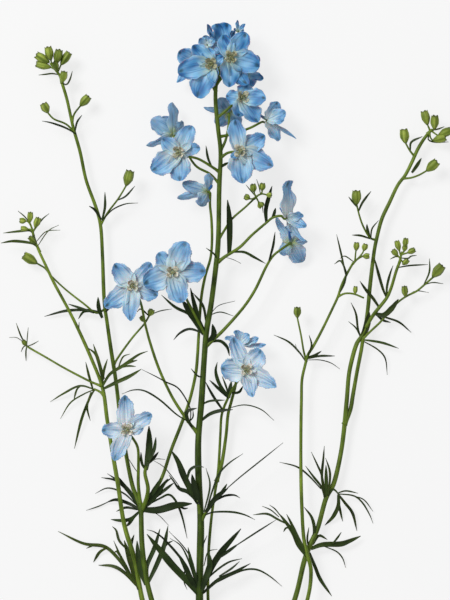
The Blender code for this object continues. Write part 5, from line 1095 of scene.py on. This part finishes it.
# %% Blue sepal with veins
VEINS_ACROSS, VEIN_WAVES, VEIN_DEPTH_MM = 6.5, 1.6, 0.15
SEPAL, tree, shader = fresh("Delphinium sepal, soft blue cells", 0.55, subsurface_weight=0.2,
                            subsurface_scale=0.0012, sheen_weight=0.2, sheen_roughness=0.5,
                            specular_ior_level=0.4)
tint = add(tree, "ShaderNodeAttribute", attribute_name="tint").outputs["Vector"]
grain = add(tree, "ShaderNodeAttribute", attribute_name="grain").outputs["Vector"]
fanned = add(tree, "ShaderNodeMapping", {"Vector": grain, "Scale": (VEIN_WAVES, VEINS_ACROSS, 1.0)})
veins = add(tree, "ShaderNodeTexNoise", {"Vector": fanned.outputs[0], "Scale": 1.0, "Detail": 2.5})
streaks = [(0.36, "#FFFFFF"), (0.52, "#EDF3F8"), (0.68, "#9DBCD4")]
skin(tree, shader, tint, [(veins, streaks)], veins.outputs["Fac"], VEIN_DEPTH_MM)

# %% [markdown]
# ## Small petals and anthers
#
# The true petals have almost no pigment, so they look cream white, and they are hairy, which shows as a
# soft sheen. The anthers are olive before they open. The cream is faintly mottled in patches of 2 mm.

# %% Cream petal and olive anther
MOTTLE_MM = 2.0
CREAM, tree, shader = fresh("Delphinium petal and anther, cream", 0.6, subsurface_weight=0.15,
                            subsurface_scale=0.001, sheen_weight=0.3)
tint = add(tree, "ShaderNodeAttribute", attribute_name="tint").outputs["Vector"]
on_plant = add(tree, "ShaderNodeTexCoord").outputs["Object"]
mottle = add(tree, "ShaderNodeTexNoise", {"Vector": on_plant, "Scale": 1 / (MOTTLE_MM * MM), "Detail": 2.0})
skin(tree, shader, tint, [(mottle, [(0.35, "#9C9D84"), (0.6, "#FFFFFF")])])

# %% [markdown]
# ## The crown's bark
#
# Below the photograph's edge the stems rise from a short woody foot. It is guessed: brown, fibrous and
# dull, with the scars of older stems. Bark is dry, so its roughness is high. Its fibres are 1.5 mm apart
# and four times as long, and the knobs are 6 mm across.

# %% Fibrous bark
BARK_FIBRE_MM, KNOB_MM, BARK_DEPTH_MM = 1.5, 6.0, 0.8
BARK, tree, shader = fresh("Fibrous bark of the crown", 0.85)
on_plant = add(tree, "ShaderNodeTexCoord").outputs["Object"]
stretched = add(tree, "ShaderNodeMapping", {"Vector": on_plant, "Scale": (1.0, 0.25, 1.0)})
fibre = add(tree, "ShaderNodeTexNoise",
            {"Vector": stretched.outputs[0], "Scale": 1 / (BARK_FIBRE_MM * MM), "Detail": 5.0})
knob = add(tree, "ShaderNodeTexNoise", {"Vector": on_plant, "Scale": 1 / (KNOB_MM * MM), "Detail": 3.0})
both = add(tree, "ShaderNodeMix", {0: 0.5, 2: fibre.outputs["Fac"], 3: knob.outputs["Fac"]},
           data_type="FLOAT").outputs[0]
browns = [(0.3, "#3E2E1C"), (0.7, "#98835C"), (0.5, "#6E5738")]
brown = add(tree, "ShaderNodeValToRGB", {"Fac": both}, browns)
skin(tree, shader, brown.outputs[0], height=both, depth_mm=BARK_DEPTH_MM)

# %% [markdown]
# ## Growing the stems and sprays
#
# Now every plan becomes one piece: all its stalks, lobes and buds in a single mesh. A seeded random number
# gives each lobe its own tilt and shade, so the same plant grows each time. How young a piece looks goes
# from 0 to 1, and the first name in the table that a piece's name starts with decides it.

# %% Stems, leaves and buds
rng = np.random.default_rng(7)
LOOKS = {"stem_left_outer": (0.55, "light_stem"), "stem_right": (0.2, "stem_and_leaf"),
         "stem": (0.0, "stem_and_leaf"), "spray": (0.4, "bud")}
for name, (stalks, blades, buds) in PLAN.items():
    young, slot = next(look for start, look in LOOKS.items() if name.startswith(start))
    shapes = [stalk(*entry[:2], entry[2:], HEARTS, young) for entry in stalks]
    for entry in blades:
        shapes.append(lobe(*entry[:3], entry[3:], rng.uniform(-0.35, 0.35), rng.random(), young))
    shapes += [bud(entry[0], entry[1:], rng.random()) for entry in buds]
    piece = build(name, shapes, GREEN)
    print(name, len(piece.data.polygons), "faces")

# %% [markdown]
# ## The flowers
#
# Five sepals and a spur make one piece, and where the heart can be seen its small petals and anthers make
# another. Sepals grow in two rounds, so every second one starts a little lower and slips under its
# neighbours.

# %% Sepals, spurs and hearts
for key, (_, _, sepals, centre_seen) in FLOWERS.items():
    heart, face = HEARTS[key]
    pale = PALE.get(key, 0.0)
    shapes = []
    for k, (px, py, high, width, *point) in enumerate(sepals):
        root = heart - face * (0.5 * (k % 2)) * MM
        shapes.append(sepal(root, face, place((px, py, high))[0], width, rng.random(), pale, *point))
    shapes.append(spur(heart, face, 1.0 if len(sepals) > 4 else 0.55))
    build("flower_" + key, shapes, SEPAL)
    if centre_seen:
        build(f"flower_{key}_centre", heart_shapes(heart, face, pale, rng), CREAM)
print("flowers built:", len(FLOWERS))

# %% [markdown]
# ## The crown
#
# A lump that is longer across than it is high, with knobs where older stems have died back. It is a tube
# again, carried along the X axis, whose radius comes from an ellipse and a few slow waves.

# %% The woody foot
CROWN_PX, CROWN_HALF_MM = (207.0, 772.0, 9.0), (24.0, 12.0, 9.0)


def crown():
    """y = 12 sqrt(1 - t^2) k cos a, z = 9 sqrt(1 - t^2) k sin a, with k = 0.93 + waves in a and t."""
    t = np.sin(np.linspace(-1, 1, 60) * np.pi / 2)[:, None]
    a = once_round(72)[None, :]
    knobs = 0.93 + 0.035 * np.cos(3 * a + 5 * t) + 0.02 * np.sin(7 * a + 9 * t)
    knobs = knobs + 0.015 * np.cos(13 * a - 11 * t)
    r = np.sqrt(np.maximum(1 - t**2, 0.0)) * knobs
    x, y, z = (h * v for h, v in zip(CROWN_HALF_MM, (0.985 * t + 0 * a, r * np.cos(a), r * np.sin(a))))
    rings = place(CROWN_PX)[0] + MM * np.stack([x, y, z], axis=-1)
    rings[..., 2] = np.maximum(rings[..., 2], 0.0)
    return close_rings(rings, t, np.cos(a), colour("#6E5738"))


piece = build("crown", [crown()], BARK)
print("crown", len(piece.data.polygons), "faces")

# %% [markdown]
# ## Floor, light and camera
#
# The photograph shows the plant on plain pale grey with hardly a shadow, so most light comes from all
# round, also from below: the floor is a light table of milky glass, lit from inside. One large soft lamp
# from the upper left gives the stems and sepals a lighter and a darker side. The camera looks straight down
# from far away, so that nothing leans, and its frame is 450 by 600 pixels of 0.8 mm.

# %% Pale floor
HALF_M, DROP_M, GLOW = 6.0, 0.0004, 0.755
WHITE = (*colour("#FFFFFF"), 1.0)
floor_mesh = bpy.data.meshes.new("floor")
corners = [(x * HALF_M, y * HALF_M, 0.0) for x, y in ((-1, -1), (1, -1), (1, 1), (-1, 1))]
floor_mesh.from_pydata(corners, [], [(0, 1, 2, 3)])
floor = in_scene("floor", floor_mesh)
floor.location.z = -DROP_M
glass, _, _ = fresh("Milky glass of a light table", 0.95, base_color=(*colour("#727272"), 1.0),
                    emission_color=WHITE, emission_strength=GLOW, specular_ior_level=0.0)
floor_mesh.materials.append(glass)
print("floor", floor.dimensions[:])

# %% Soft light from all round and one large lamp, turned towards the plant
ALL_ROUND, LAMP_AT, LAMP_M, LAMP_WATTS = 0.5, (-2.2, 2.0, 3.4), 1.6, 150.0
world = bpy.data.worlds.new("Studio")
world.use_nodes = True
world.node_tree.nodes["Background"].inputs["Color"].default_value = WHITE
world.node_tree.nodes["Background"].inputs["Strength"].default_value = ALL_ROUND
bpy.context.scene.world = world
lamp = in_scene("Window", bpy.data.lights.new("Window", "AREA"))
lamp.data.size, lamp.data.energy = LAMP_M, LAMP_WATTS
lamp.location = LAMP_AT
x, y, z = unit(LAMP_AT)
lamp.rotation_euler = (np.arccos(z), 0.0, np.arctan2(x, -y))
print(lamp.name, "lamp of", LAMP_WATTS, "W, turned by", np.degrees(lamp.rotation_euler[:]).round(), "degrees")

# %% Camera straight above
FAR_M, MIDDLE_M, SENSOR_MM, CLIP_M = 5.0, 0.015, 36.0, 50.0
camera = in_scene("Camera", bpy.data.cameras.new("Camera"))
camera.data.sensor_width = SENSOR_MM
camera.data.lens = SENSOR_MM * FAR_M / (PHOTO_PX[1] * MM_PER_PIXEL * MM)
camera.data.clip_end = CLIP_M
camera.location = (*place((PHOTO_PX[0] / 2, PHOTO_PX[1] / 2, 0.0))[0][:2], FAR_M + MIDDLE_M)
bpy.context.scene.camera = camera
bpy.context.scene.view_settings.view_transform = "Standard"
print("lens", round(camera.data.lens), "mm,", FAR_M, "m above")
